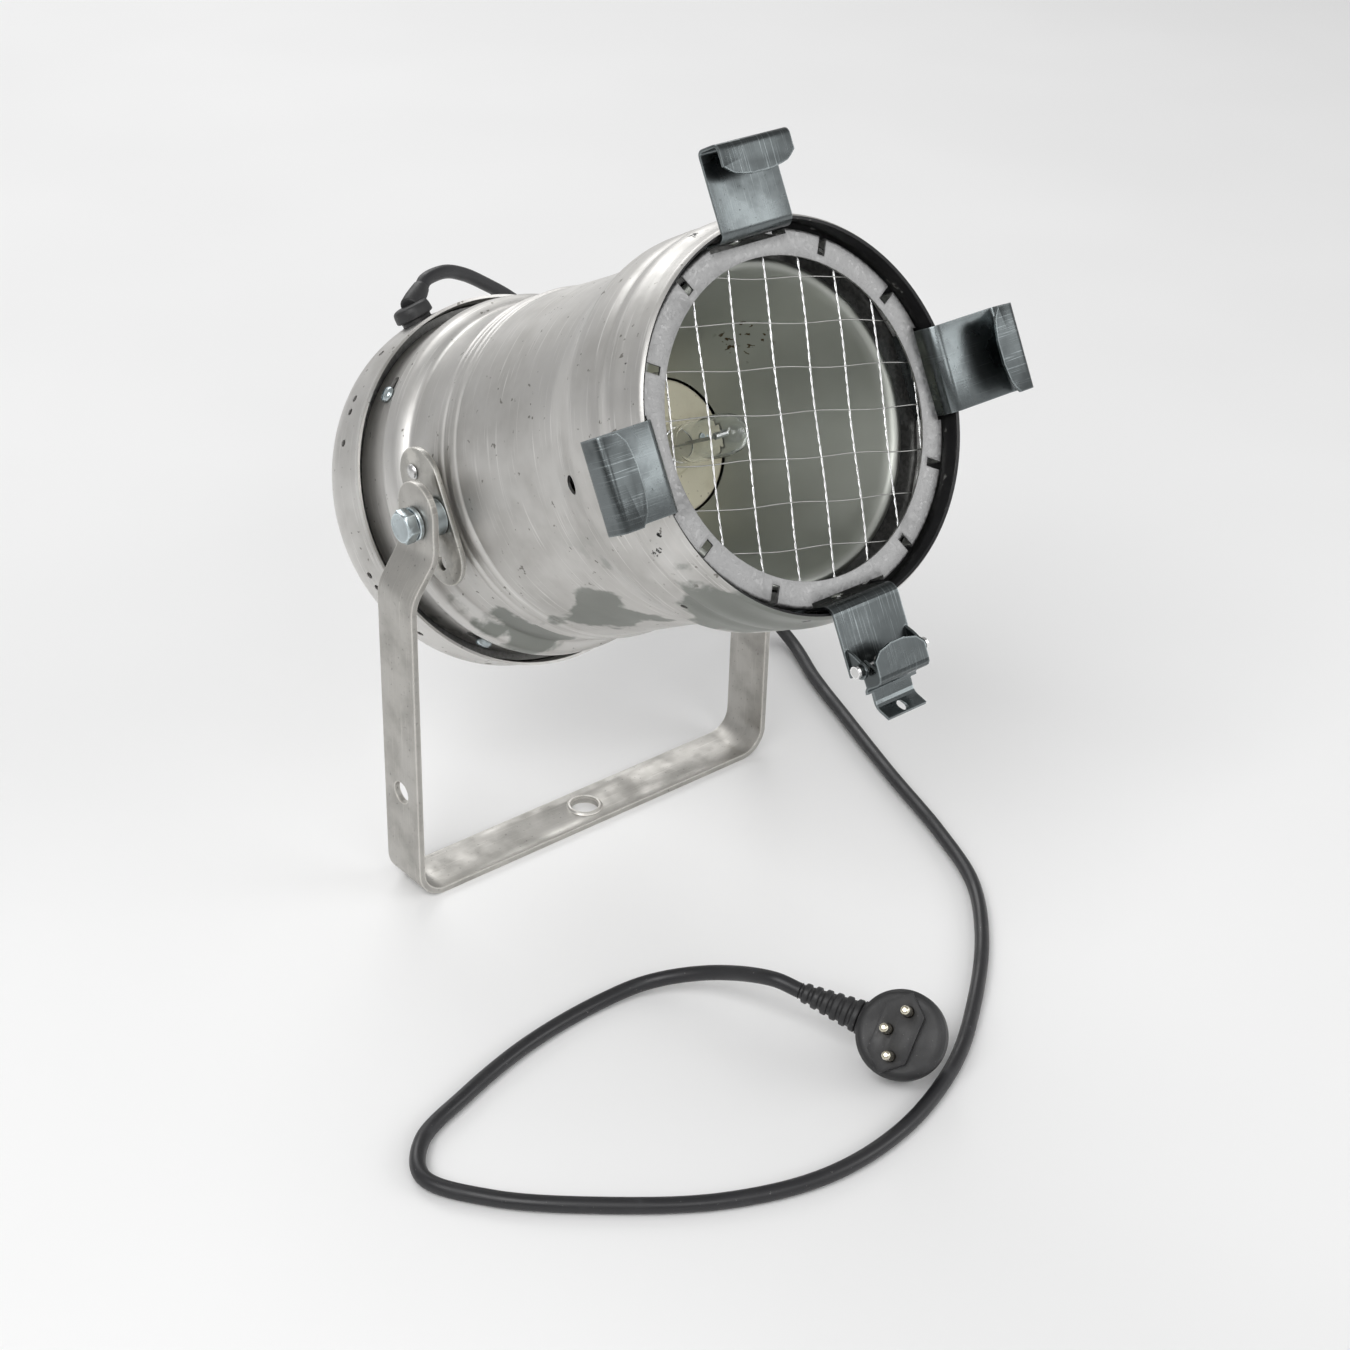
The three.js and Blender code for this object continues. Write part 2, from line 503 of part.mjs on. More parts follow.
onHead("latch_pin", down(revolve(pinProfile, 12).rotateZ(Math.PI / 2).translate(0, -PIN_S, PIN_R)), bright);
class Coil extends THREE.Curve {
  getPoint(t) {
    const a = Math.PI * 2 * 5.5 * t; // five and a half turns round the pin
    return v3(-7 + 14 * t, -PIN_S + 2.8 * Math.cos(a), PIN_R + 2.8 * Math.sin(a));
  }
}
onHead("latch_spring", down(tube(new Coil(), 0.5, 44, 5)), tungsten);

// ---- wiring inside the cap ----
onHead("terminal_block", cut(
  box(-14, 14, 44, 58, 20, 34), ...[-9, 0, 9].map((x) => rod(v3(x, 51, 28), v3(x, 51, 36), 2.6, 12)),
), ceramic);
onHead("earth_screw", revolve([
  [-86, 0], [-86, 1.9], [-79, 1.9], [-79, 4], [-76.4, 4], [-76.4, 0],
], 14).translate(30, 0, -20), brass);
function lead(name, points, r, material, steps = 20) {
  const curve = new THREE.CatmullRomCurve3(points.map((p) => v3(...p)), false, "centripetal");
  onHead(name, tube(curve, r, steps, 7), material);
}
const holderBack = -BLOCK_S + 26 + GAP;
lead("lead_live", [[-8, holderBack, 0], [-8, holderBack + 9, 2], [-9, 8, 20], [-9, 30, 34], [-9, 43.5, 30]], 1.4, silicone);
lead("lead_neutral", [[8, holderBack, 0], [8, holderBack + 9, 2], [9, 8, 20], [9, 30, 34], [9, 43.5, 30]], 1.4, silicone);
lead("lead_earth", [[0, 43.4, 24], [0, 39, 23], [4, 34, 14], [16, 44, -6], [28, 60, -18], [30, 76, -20]], 1.4, brass);
lead("inner_cable", [
  bootCore(CAP_R - 8.4).toArray(), bootCore(CAP_R - 18).toArray(), [-12, 76, 40], [-1, 67, 27.5], [0, 59, 27],
], CORD_D / 2, black, 14);

// ---- mains cord and plug, lying on the floor ----
const PLUG = {
  face: v3(-19.9, -228.4, 23.9), // middle of the pin face
  normal: v3(-0.629, -0.425, 0.651).normalize(),
};
const TO_CORD = v3(-0.43, 0.885, 0.16);
TO_CORD.addScaledVector(PLUG.normal, -TO_CORD.dot(PLUG.normal)).normalize();
const ACROSS = PLUG.normal.clone().cross(TO_CORD);
const PLUG_R = 18.3;
const PLUG_T = 17;
const RELIEF = [18.6, 45]; // strain relief, measured from the middle of the plug
const onPlug = (g) =>
  g.applyMatrix4(new THREE.Matrix4().makeBasis(TO_CORD, ACROSS, PLUG.normal).setPosition(PLUG.face));
const disc = (z0, z1, r, chamfer, sides = 32) =>
  new THREE.LatheGeometry([
    new THREE.Vector2(0, z0), new THREE.Vector2(r - chamfer, z0), new THREE.Vector2(r, z0 + chamfer),
    new THREE.Vector2(r, z1 - chamfer), new THREE.Vector2(r - chamfer, z1), new THREE.Vector2(0, z1),
  ], sides).rotateX(Math.PI / 2);
const pinSpots = { live: [0, -PIN_SPACING / 2], neutral: [0, PIN_SPACING / 2], earth: [PIN_OFFSET, 0] };
const hexFace = [[0, -17.2], [8.2, -10], [8.2, 10], [0, 17.2], [-8.2, 10], [-8.2, -10]];
const neck = rod(v3(10, 0, -PLUG_T / 2 - 0.5), v3(RELIEF[0] - GAP, 0, -PLUG_T / 2 - 0.5), 7.6, 20, 7);
place("plug_body", onPlug(join(disc(-PLUG_T, 0, PLUG_R, 2), neck)), black);
const facePlate = plate(hexFace.map(([a, b]) => new THREE.Vector2(a + 1.5, b)), 3.2, SIDE, v3(0, 1, 0), false);
const faceHoles = Object.values(pinSpots).map(([a, b]) => rod(v3(a, b, 0), v3(a, b, 6), 2.25, 12));
place("plug_face", onPlug(cut(facePlate.translate(0, 0, GAP), ...faceHoles)), black);
for (const [name, [a, b]] of Object.entries(pinSpots)) {
  const pin = rod(v3(a, b, GAP), v3(a, b, 18), 2, 16);
  place(`plug_pin_${name}`, onPlug(join(pin, rod(v3(a, b, 17.9), v3(a, b, 19), 2, 16, 1.2))), brass);
}
const reliefLine = [];
for (let k = 0; k < 4; k++) {
  // ribs that get thinner towards the cord
  const at = RELIEF[0] + ((RELIEF[1] - RELIEF[0]) * k) / 4;
  const r = 6.9 - k * 0.8;
  reliefLine.push([at, r], [at + 4.4, r - 0.5], [at + 4.6, r - 1.5], [at + 6.4, r - 1.5]);
}
const relief = revolve([[RELIEF[0], 0], ...reliefLine, [RELIEF[1], 3.8], [RELIEF[1], 0]], 12).rotateZ(Math.PI / 2);
place("plug_strain_relief", onPlug(relief.translate(0, 0, -PLUG_T / 2 - 0.5)), black);

const headPoint = (p) => p.clone().applyAxisAngle(SIDE, (-TILT * Math.PI) / 180).add(v3(0, 0, PIVOT_Z));
const plugEnd = (d) => PLUG.face.clone().addScaledVector(PLUG.normal, -PLUG_T / 2 - 0.5).addScaledVector(TO_CORD, d);
const CORD_Z = CORD_D / 2 + 0.25;
const cordPoints = [
  headPoint(noseAt(BOOT_NOSE + GAP)), headPoint(noseAt(BOOT_NOSE + 5)),
  ...[
    [10, 119, 228], [24, 123.5, 222], [39, 127, 212.5], [55, 130, 201], [81, 134, 178], [110, 135, 143],
    [137, 131, 102], [159, 119, 61], [174, 99, 29], [181, 74, 11], [177, 48, 4.6], [165, 20, CORD_Z],
    [151, -18, CORD_Z],
    [133, -68, CORD_Z], [116, -119, CORD_Z], [100, -155, CORD_Z], [75, -185, CORD_Z], [38, -216, CORD_Z],
    [2, -239, CORD_Z], [-42, -253.5, CORD_Z], [-83, -254, CORD_Z], [-122, -240, CORD_Z],
    [-160, -213, CORD_Z], [-190, -184, CORD_Z], [-203, -160, CORD_Z], [-192, -143, CORD_Z],
    [-164, -132, CORD_Z], [-125, -122, CORD_Z], [-86, -119, 3.6], [-63.5, -124, 6.5], [-46.5, -143, 15],
  ].map((p) => v3(...p)),
  plugEnd(RELIEF[1] + 12), plugEnd(RELIEF[1] + GAP),
];
const cordCurve = new THREE.CatmullRomCurve3(cordPoints, false, "centripetal");
cordCurve.arcLengthDivisions = 800;
place("cord", tube(cordCurve, CORD_D / 2, 76, 8), black);

// ---- origin: under the middle of everything but the cord and its plug ----
const extent = new THREE.Box3();
for (const m of root.children) {
  if (m.name === "cord" || m.name.startsWith("plug_")) continue;
  m.geometry.computeBoundingBox();
  extent.union(m.geometry.boundingBox);
}
root.position.y = -(extent.min.y + extent.max.y) / 2;

export default root;
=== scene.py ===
import json
import math

import bmesh
import bpy
from mathutils import Matrix, Vector


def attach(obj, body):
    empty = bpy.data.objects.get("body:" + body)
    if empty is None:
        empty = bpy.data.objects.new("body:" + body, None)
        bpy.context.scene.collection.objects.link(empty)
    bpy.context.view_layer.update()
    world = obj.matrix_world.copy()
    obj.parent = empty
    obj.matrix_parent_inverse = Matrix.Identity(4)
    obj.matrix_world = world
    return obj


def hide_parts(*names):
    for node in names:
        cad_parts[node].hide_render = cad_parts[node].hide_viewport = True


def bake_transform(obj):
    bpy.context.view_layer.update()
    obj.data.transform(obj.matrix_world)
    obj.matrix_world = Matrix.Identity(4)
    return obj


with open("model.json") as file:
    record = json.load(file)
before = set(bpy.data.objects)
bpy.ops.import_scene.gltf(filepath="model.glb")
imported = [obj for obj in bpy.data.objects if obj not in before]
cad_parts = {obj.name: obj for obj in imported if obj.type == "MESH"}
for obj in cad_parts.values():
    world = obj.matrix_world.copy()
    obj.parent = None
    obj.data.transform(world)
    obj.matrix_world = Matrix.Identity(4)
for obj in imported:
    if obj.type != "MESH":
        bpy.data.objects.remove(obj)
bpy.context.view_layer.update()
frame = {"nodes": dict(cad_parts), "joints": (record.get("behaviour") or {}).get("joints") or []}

# Shapes are written in millimetres, in the frame they belong to, and made in metres.
MM = 0.001
JOINTS = {j["name"]: j for j in frame["joints"]}
PIVOT = Vector(JOINTS["head_tilt"]["pos_m"])
TILT = math.radians(28.65)
ACROSS = Vector((1, 0, 0))
CAN_UP = Vector((0, math.sin(TILT), math.cos(TILT)))
CAN_FRONT = Vector((0, -math.cos(TILT), math.sin(TILT)))


def basis(x, y, z, origin):
    m = Matrix((x, y, z)).transposed().to_4x4()
    m.translation = origin
    return m


# The can's frame: x across, y up, z forwards along its axis, origin at the tilt bolts.
CAN = basis(ACROSS, CAN_UP, CAN_FRONT, PIVOT)
WORLD = Matrix.Identity(4)
AT_YOKE = Matrix.Translation(Vector((0, PIVOT.y, 0)))


# ---- materials ----
class Look:
    """A material's node tree, with short ways to add noise, masks and bump to its shader."""

    def __init__(self, name, color, metallic, roughness):
        self.material = bpy.data.materials.new(name)
        self.material.use_nodes = True
        self.tree = self.material.node_tree
        self.shader = self.tree.nodes["Principled BSDF"]
        self.shader.inputs["Metallic"].default_value = metallic
        self.shader.inputs["Roughness"].default_value = roughness
        self.shader.inputs["Base Color"].default_value = (*color, 1)
        self.coordinates = self.add("ShaderNodeTexCoord").outputs["Object"]
        self.color = color
        self.height = None

    def add(self, kind, **values):
        node = self.tree.nodes.new(kind)
        for key, value in values.items():
            setattr(node, key, value)
        return node

    def link(self, a, b):
        self.tree.links.new(a, b)

    def spots(self, scale, detail=3, stretch=(1, 1, 1), rough=0.55):
        """A noise from 0 to 1, its grains about 1/scale metres across before it is stretched."""
        mapping = self.add("ShaderNodeMapping")
        mapping.inputs["Scale"].default_value = stretch
        self.link(self.coordinates, mapping.inputs["Vector"])
        noise = self.add("ShaderNodeTexNoise")
        noise.inputs["Scale"].default_value = scale
        noise.inputs["Detail"].default_value = detail
        noise.inputs["Roughness"].default_value = rough
        self.link(mapping.outputs["Vector"], noise.inputs["Vector"])
        return noise.outputs["Fac"]

    def cells(self, scale):
        voronoi = self.add("ShaderNodeTexVoronoi")
        voronoi.inputs["Scale"].default_value = scale
        self.link(self.coordinates, voronoi.inputs["Vector"])
        bw = self.add("ShaderNodeRGBToBW")
        self.link(voronoi.outputs["Color"], bw.inputs["Color"])
        return bw.outputs["Val"]

    def ramp(self, value, low, high, to=(0, 1)):
        node = self.add("ShaderNodeMapRange")
        node.interpolation_type = "SMOOTHSTEP"
        node.inputs["From Min"].default_value = low
        node.inputs["From Max"].default_value = high
        node.inputs["To Min"].default_value = to[0]
        node.inputs["To Max"].default_value = to[1]
        self.link(value, node.inputs["Value"])
        return node.outputs["Result"]

    def times(self, a, b):
        node = self.add("ShaderNodeMath", operation="MULTIPLY")
        self.link(a, node.inputs[0])
        self.link(b, node.inputs[1])
        return node.outputs[0]

    def axis(self, name):
        node = self.add("ShaderNodeSeparateXYZ")
        self.link(self.coordinates, node.inputs[0])
        return node.outputs[name]

    def distance(self, point):
        node = self.add("ShaderNodeVectorMath", operation="DISTANCE")
        self.link(self.coordinates, node.inputs[0])
        node.inputs[1].default_value = point
        return node.outputs["Value"]

    def wear_and_edge_highlight(self, radius=0.0012):
        """High on outer edges, for a tint that is rubbed wear and painted edge highlight together."""
        bevel = self.add("ShaderNodeBevel", samples=4)
        bevel.inputs["Radius"].default_value = radius
        geometry = self.add("ShaderNodeNewGeometry")
        dot = self.add("ShaderNodeVectorMath", operation="DOT_PRODUCT")
        self.link(bevel.outputs["Normal"], dot.inputs[0])
        self.link(geometry.outputs["Normal"], dot.inputs[1])
        return self.ramp(dot.outputs["Value"], 0.995, 0.93)

    def tint(self, mask, color):
        """Mixes a colour in where the mask is high."""
        node = self.add("ShaderNodeMix", data_type="RGBA")
        socket = self.shader.inputs["Base Color"]
        if socket.is_linked:
            self.link(socket.links[0].from_socket, node.inputs["A"])
        else:
            node.inputs["A"].default_value = (*self.color, 1)
        node.inputs["B"].default_value = (*color, 1)
        self.link(mask, node.inputs["Factor"])
        self.link(node.outputs["Result"], socket)

    def drive(self, socket, value):
        self.link(value, self.shader.inputs[socket])

    def bump(self, value, depth):
        """Adds height, in metres, under what was added before."""
        node = self.add("ShaderNodeBump")
        node.inputs["Strength"].default_value = 1
        node.inputs["Distance"].default_value = depth
        self.link(value, node.inputs["Height"])
        if self.height:
            self.link(self.height, node.inputs["Normal"])
        self.height = node.outputs["Normal"]
        self.link(self.height, self.shader.inputs["Normal"])


def spun_aluminium(name, stained):
    """Worn spun sheet: rings round the axis, dull smudges, and stains low on the left."""
    look = Look(name, (0.62, 0.61, 0.59), 1, 0.5)
    rings = look.spots(1, 4, (12, 12, 2600))
    smudge = look.spots(24, 4)
    look.tint(look.ramp(smudge, 0.42, 0.7), (0.5, 0.49, 0.47))
    look.tint(look.ramp(look.spots(9, 5), 0.5, 0.66), (0.7, 0.69, 0.67))
    look.tint(look.ramp(look.spots(1, 5, (30, 30, 900)), 0.56, 0.72), (0.76, 0.75, 0.73))
    look.tint(look.ramp(look.spots(260, 2), 0.68, 0.74), (0.26, 0.25, 0.23))
    if stained:
        low = look.ramp(look.axis("Y"), -0.012, -0.05)
        left = look.ramp(look.axis("X"), 0.0, -0.02)
        where = look.times(low, left)
        puddle = look.times(where, look.ramp(look.spots(17, 6, (1, 1, 0.8), 0.5), 0.5, 0.53))
        look.tint(puddle, (0.27, 0.28, 0.26))
        chips = look.times(look.ramp(look.axis("Z"), 0.124, 0.13), look.ramp(look.spots(75, 5), 0.66, 0.68))
        look.tint(chips, (0.03, 0.03, 0.03))
    look.drive("Roughness", look.ramp(smudge, 0.3, 0.75, (0.4, 0.58)))
    look.bump(rings, 0.00003)
    look.bump(look.spots(16, 3), 0.0005)
    return look.material


def brushed_steel(name, color, roughness, stretch, dark=0.6, grain=0.00003, lip=None):
    """Plated or mill steel with scratches along one way, spots, and brighter edges (rubbed wear and painted highlight);
    given a lip position along z, the lip face beyond it is darkened as painted shade, with its brushing lines
    brightened there as painted sheen.
    """
    look = Look(name, color, 1, roughness)
    lines = look.spots(1, 5, stretch)
    cloud = look.spots(60, 4)
    look.tint(look.ramp(cloud, 0.4, 0.75), tuple(c * dark for c in color))
    look.tint(look.ramp(lines, 0.58, 0.72), tuple(min(1, c * 1.3) for c in color))
    look.tint(look.ramp(look.spots(700, 2), 0.66, 0.74), tuple(c * 0.5 for c in color))
    if lip:
        # Painted shade on the lip face beyond z = lip, with painted sheen along its brushing lines.
        far = look.ramp(look.axis("Z"), lip - 0.003, lip)
        look.tint(far, tuple(c * 0.55 for c in color))
        look.tint(look.times(far, look.ramp(lines, 0.55, 0.75)), tuple(c * 1.6 for c in color))
    # Brighter edges: rubbed wear and a painted edge highlight together.
    look.tint(look.wear_and_edge_highlight(), tuple(min(1, c * 1.7) for c in color))
    look.drive("Roughness", look.ramp(cloud, 0.3, 0.8, (roughness * 0.75, roughness * 1.4)))
    look.bump(lines, grain)
    look.bump(look.spots(45, 3), 0.0002)
    return look.material


def galvanised(name, color):
    look = Look(name, color, 0.85, 0.5)
    speckle = look.cells(900)
    look.tint(look.ramp(speckle, 0.2, 0.85), tuple(min(1, c * 1.45) for c in color))
    look.tint(look.ramp(look.spots(35, 4), 0.5, 0.75), tuple(c * 0.7 for c in color))
    look.drive("Roughness", look.ramp(speckle, 0, 1, (0.34, 0.6)))
    look.bump(speckle, 0.00004)
    return look.material


def reflector_look():
    look = Look("dull_reflector", (0.5, 0.515, 0.48), 1, 0.5)
    look.tint(look.ramp(look.spots(10, 4), 0.45, 0.7), (0.44, 0.455, 0.42))
    near = look.ramp(look.distance((0.03, 0.033, 0.09)), 0.014, 0.009)
    look.tint(look.times(near, look.ramp(look.spots(330, 2), 0.6, 0.63)), (0.1, 0.07, 0.04))
    look.drive("Roughness", look.ramp(look.spots(30, 3), 0.3, 0.8, (0.44, 0.6)))
    look.bump(look.spots(1, 3, (10, 10, 1500)), 0.00001)
    return look.material


def ceramic_look():
    look = Look("cream_ceramic", (0.78, 0.74, 0.58), 0, 0.55)
    look.tint(look.ramp(look.spots(40, 5), 0.5, 0.75), (0.6, 0.55, 0.4))
    look.tint(look.ramp(look.spots(500, 2), 0.66, 0.72), (0.35, 0.3, 0.22))
    look.bump(look.spots(900, 3), 0.00006)
    return look.material


def glass_look():
    look = Look("bulb_glass", (0.97, 0.99, 1.0), 0, 0.02)
    look.shader.inputs["Transmission Weight"].default_value = 1
    look.shader.inputs["IOR"].default_value = 1.46
    look.drive("Roughness", look.ramp(look.spots(120, 3), 0.5, 0.8, (0.01, 0.09)))
    look.bump(look.spots(90, 2), 0.00003)
    return look.material


def rubber_look(name, color, roughness, grain=0.00003):
    look = Look(name, color, 0, roughness)
    dust = look.spots(55, 5)
    look.tint(look.ramp(dust, 0.55, 0.8), tuple(c * 2.2 + 0.01 for c in color))
    look.tint(look.ramp(look.spots(900, 2), 0.7, 0.78), (0.16, 0.155, 0.15))
    look.drive("Roughness", look.ramp(dust, 0.3, 0.8, (roughness * 0.8, roughness * 1.35)))
    look.bump(look.spots(1400, 3), grain)
    return look.material


# Near-black with pale flecks, for the inward faces of the front bell.
def near_black_inside():
    look = Look("near_black_inside", (0.012, 0.012, 0.013), 0, 0.45)
    look.tint(look.ramp(look.spots(150, 5), 0.64, 0.68), (0.2, 0.2, 0.19))
    look.drive("Roughness", look.ramp(look.spots(60, 4), 0.3, 0.8, (0.3, 0.6)))
    look.bump(look.spots(300, 4), 0.00008)
    return look.material


ALONG_STRAP = (30, 2600, 30)
ALONG_CLIP = (2400, 40, 40)
SPUN = spun_aluminium("spun_aluminium", stained=True)
CAP_SPUN = spun_aluminium("cap_aluminium", stained=False)
STRAP = brushed_steel("yoke_strap", (0.5, 0.487, 0.46), 0.5, ALONG_STRAP, 0.85)
PLATE = brushed_steel("side_plate_steel", (0.5, 0.49, 0.46), 0.4, (60, 60, 60), 0.75)
# The clips' lip faces get painted shade and sheen through lip.
ZINC = brushed_steel("zinc_clip", (0.16, 0.178, 0.182), 0.3, ALONG_CLIP, 0.6, lip=0.1655)
FASTENER = brushed_steel("zinc_fastener", (0.5, 0.56, 0.58), 0.3, (200, 200, 200), 0.6)
BRIGHT = brushed_steel("bright_steel", (0.66, 0.66, 0.65), 0.3, (300, 300, 300), 0.8)
DARK_WIRE = brushed_steel("dull_wire", (0.3, 0.3, 0.29), 0.4, (300, 300, 300), 0.7)
GUARD = galvanised("guard_ring", (0.27, 0.27, 0.27))
DARK_SHEET = galvanised("dark_sheet", (0.16, 0.16, 0.155))
REFLECTOR = reflector_look()
CERAMIC = ceramic_look()
GLASS = glass_look()
RUBBER = rubber_look("cord_rubber", (0.018, 0.018, 0.02), 0.42)
MOULDED = rubber_look("plug_rubber", (0.022, 0.022, 0.023), 0.5, 0.00006)
SLEEVE = rubber_look("white_sleeve", (0.7, 0.68, 0.62), 0.6)
DARK_INSIDE = near_black_inside()
BRASS = brushed_steel("brass", (0.62, 0.5, 0.26), 0.3, (300, 300, 300), 0.6)
PIN_METAL = brushed_steel("plug_pin", (0.66, 0.6, 0.48), 0.24, (300, 300, 300), 0.7)


# ---- outlines, in millimetres ----
def rounded(points, radius, steps=5):
    """Rounds the inner corners of an open line."""
    out = [Vector(points[0])]
    for before, here, after in zip(points, points[1:], points[2:]):
        p, back, on = Vector(here), Vector(before) - Vector(here), Vector(after) - Vector(here)
        reach = min(radius, back.length * 0.45, on.length * 0.45)
        a, b = p + back.normalized() * reach, p + on.normalized() * reach
        for i in range(steps + 1):
            t = i / steps
            out.append(a * (1 - t) ** 2 + p * 2 * t * (1 - t) + b * t * t)
    return out + [Vector(points[-1])]


def sheet_outline(points, t):
    """The closed outline of a sheet of thickness t whose middle follows an open line."""
    p = [Vector(q) for q in points]
    sides = [Vector((-(b - a).y, (b - a).x)).normalized() for a, b in zip(p, p[1:])]
    left, right = [], []
    for i, q in enumerate(p):
        before, after = sides[max(i - 1, 0)], sides[min(i, len(sides) - 1)]
        mitre = (before + after).normalized()
        mitre *= t / 2 / max(mitre.dot(after), 0.5)
        left.append(q + mitre)
        right.append(q - mitre)
    return left + right[::-1]


def arc(x, y, r, start, end, steps=16):
    """Points of an arc, in degrees."""
    angles = [math.radians(start + (end - start) * i / steps) for i in range(steps + 1)]
    return [Vector((x + r * math.cos(a), y + r * math.sin(a))) for a in angles]


# ---- shapes: (points, faces) in millimetres ----
def revolve(outline, segments=144):
    """Turns a closed outline of (s, r) points about the z axis, s along it."""
    points, faces = [], []
    n = len(outline)
    for k in range(segments):
        a = 2 * math.pi * k / segments
        points += [(r * math.sin(a), r * math.cos(a), s) for s, r in outline]
        ahead = (k + 1) % segments * n
        faces += [(k * n + i, k * n + (i + 1) % n, ahead + (i + 1) % n, ahead + i) for i in range(n)]
    return points, faces


def dish(line, t, segments=144):
    """A sheet of revolution closed at the axis, where its line ends."""
    return revolve([(s, 0 if abs(r) < t else r) for s, r in sheet_outline(line, t)], segments)


def prism(outline, lo, hi, along="x"):
    """Draws an outline of points on the other two axes, in their order, out along one axis."""
    n = len(outline)
    place = {"x": lambda a, b, h: (h, a, b), "y": lambda a, b, h: (a, h, b),
             "z": lambda a, b, h: (a, b, h)}[along]
    points = [place(a, b, h) for h in (lo, hi) for a, b in outline]
    faces = [(i, (i + 1) % n, n + (i + 1) % n, n + i) for i in range(n)]
    return points, faces + [tuple(range(n))[::-1], tuple(range(n, 2 * n))]


def moved(shape, matrix):
    return [tuple(matrix @ Vector(p)) for p in shape[0]], shape[1]


def joined(*shapes):
    points, faces = [], []
    for p, f in shapes:
        faces += [tuple(i + len(points) for i in face) for face in f]
        points += p
    return points, faces


def between(a, b):
    """The frame whose z axis runs from a to b."""
    z = (Vector(b) - Vector(a)).normalized()
    m = z.to_track_quat("Z", "Y").to_matrix().to_4x4()
    m.translation = Vector(a)
    return m


def rod(a, b, r, segments=32, r_end=None):
    length = (Vector(b) - Vector(a)).length
    r_end = r if r_end is None else r_end
    return moved(revolve([(0, 0), (0, r), (length, r_end), (length, 0)], segments), between(a, b))


def block(x0, x1, y0, y1, z0, z1):
    return prism([(y0, z0), (y1, z0), (y1, z1), (y0, z1)], x0, x1)


# ---- objects ----
def mesh_object(name, shape, matrix):
    mesh = bpy.data.meshes.new(name)
    mesh.from_pydata([Vector(p) * MM for p in shape[0]], [], shape[1])
    work = bmesh.new()
    work.from_mesh(mesh)
    bmesh.ops.remove_doubles(work, verts=work.verts, dist=1e-7)
    bmesh.ops.dissolve_degenerate(work, edges=work.edges, dist=1e-8)
    bmesh.ops.recalc_face_normals(work, faces=work.faces)
    work.to_mesh(mesh)
    work.free()
    obj = bpy.data.objects.new(name, mesh)
    bpy.context.scene.collection.objects.link(obj)
    obj.matrix_world = matrix
    return obj


def apply_modifiers(obj):
    bpy.context.view_layer.update()
    graph = bpy.context.evaluated_depsgraph_get()
    mesh = bpy.data.meshes.new_from_object(obj.evaluated_get(graph))
    obj.modifiers.clear()
    obj.data = mesh


def cut(obj, *shapes):
    """Cuts the shapes, in the object's own frame, out of it."""
    for i, shape in enumerate(shapes):
        tool = mesh_object(f"{obj.name}_tool{i}", shape, obj.matrix_world)
        modifier = obj.modifiers.new("cut", "BOOLEAN")
        modifier.object, modifier.operation, modifier.solver = tool, "DIFFERENCE", "EXACT"
        apply_modifiers(obj)
        bpy.data.objects.remove(tool)
    return obj


def piece(name, shape, material, body="head", matrix=CAN, nodes=(), cuts=(), bevel=0.0, smooth=32):
    """Makes one visible piece, finished, riding on its body and standing for its CAD nodes."""
    obj = mesh_object(name, shape, matrix)
    cut(obj, *cuts)
    if bevel:
        modifier = obj.modifiers.new("edges", "BEVEL")
        modifier.width, modifier.segments = bevel * MM, 2
        modifier.limit_method, modifier.angle_limit = "ANGLE", math.radians(40)
        apply_modifiers(obj)
    obj.data.shade_smooth()
    obj.data.set_sharp_from_angle(angle=math.radians(smooth))
    obj.data.materials.clear()
    obj.data.materials.append(material)
    if body:
        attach(obj, body)
    if nodes:
        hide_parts(*nodes)
    return obj


def radial(roll):
    return Vector((math.sin(math.radians(roll)), math.cos(math.radians(roll)), 0))


def on_can(s, roll, r):
    return radial(roll) * r + Vector((0, 0, s))


def across_wall(s, roll, r, hole):
    return rod(on_can(s, roll, r - 8), on_can(s, roll, r + 8), hole, 24)


def rolled(roll):
    return Matrix.Rotation(math.radians(-roll), 4, "Z")


# ---- camera and light ----
def camera():
    azimuth, elevation, roll = (math.radians(a) for a in (-40.9, 31.04, 1.81))
    right = Vector((math.cos(azimuth), math.sin(azimuth), 0))
    back = Vector((math.sin(azimuth) * math.cos(elevation), -math.cos(azimuth) * math.cos(elevation),
                   math.sin(elevation)))
    up = back.cross(right)
    right, up = (right * math.cos(roll) + up * math.sin(roll), up * math.cos(roll) - right * math.sin(roll))
    data = bpy.data.cameras.new("camera")
    data.lens, data.sensor_width = 64.04, 36
    obj = bpy.data.objects.new("camera", data)
    bpy.context.scene.collection.objects.link(obj)
    obj.matrix_world = basis(right, up, back, Vector((-0.5801, -0.68928, 0.63716)))
    bpy.context.scene.camera = obj


def softbox(name, place, aim, size, power):
    data = bpy.data.lights.new(name, "AREA")
    data.shape, data.size, data.size_y, data.energy = "RECTANGLE", size[0], size[1], power
    obj = bpy.data.objects.new(name, data)
    bpy.context.scene.collection.objects.link(obj)
    turn = (Vector(place) - Vector(aim)).to_track_quat("Z", "Y").to_matrix().to_4x4()
    obj.matrix_world = Matrix.Translation(place) @ turn


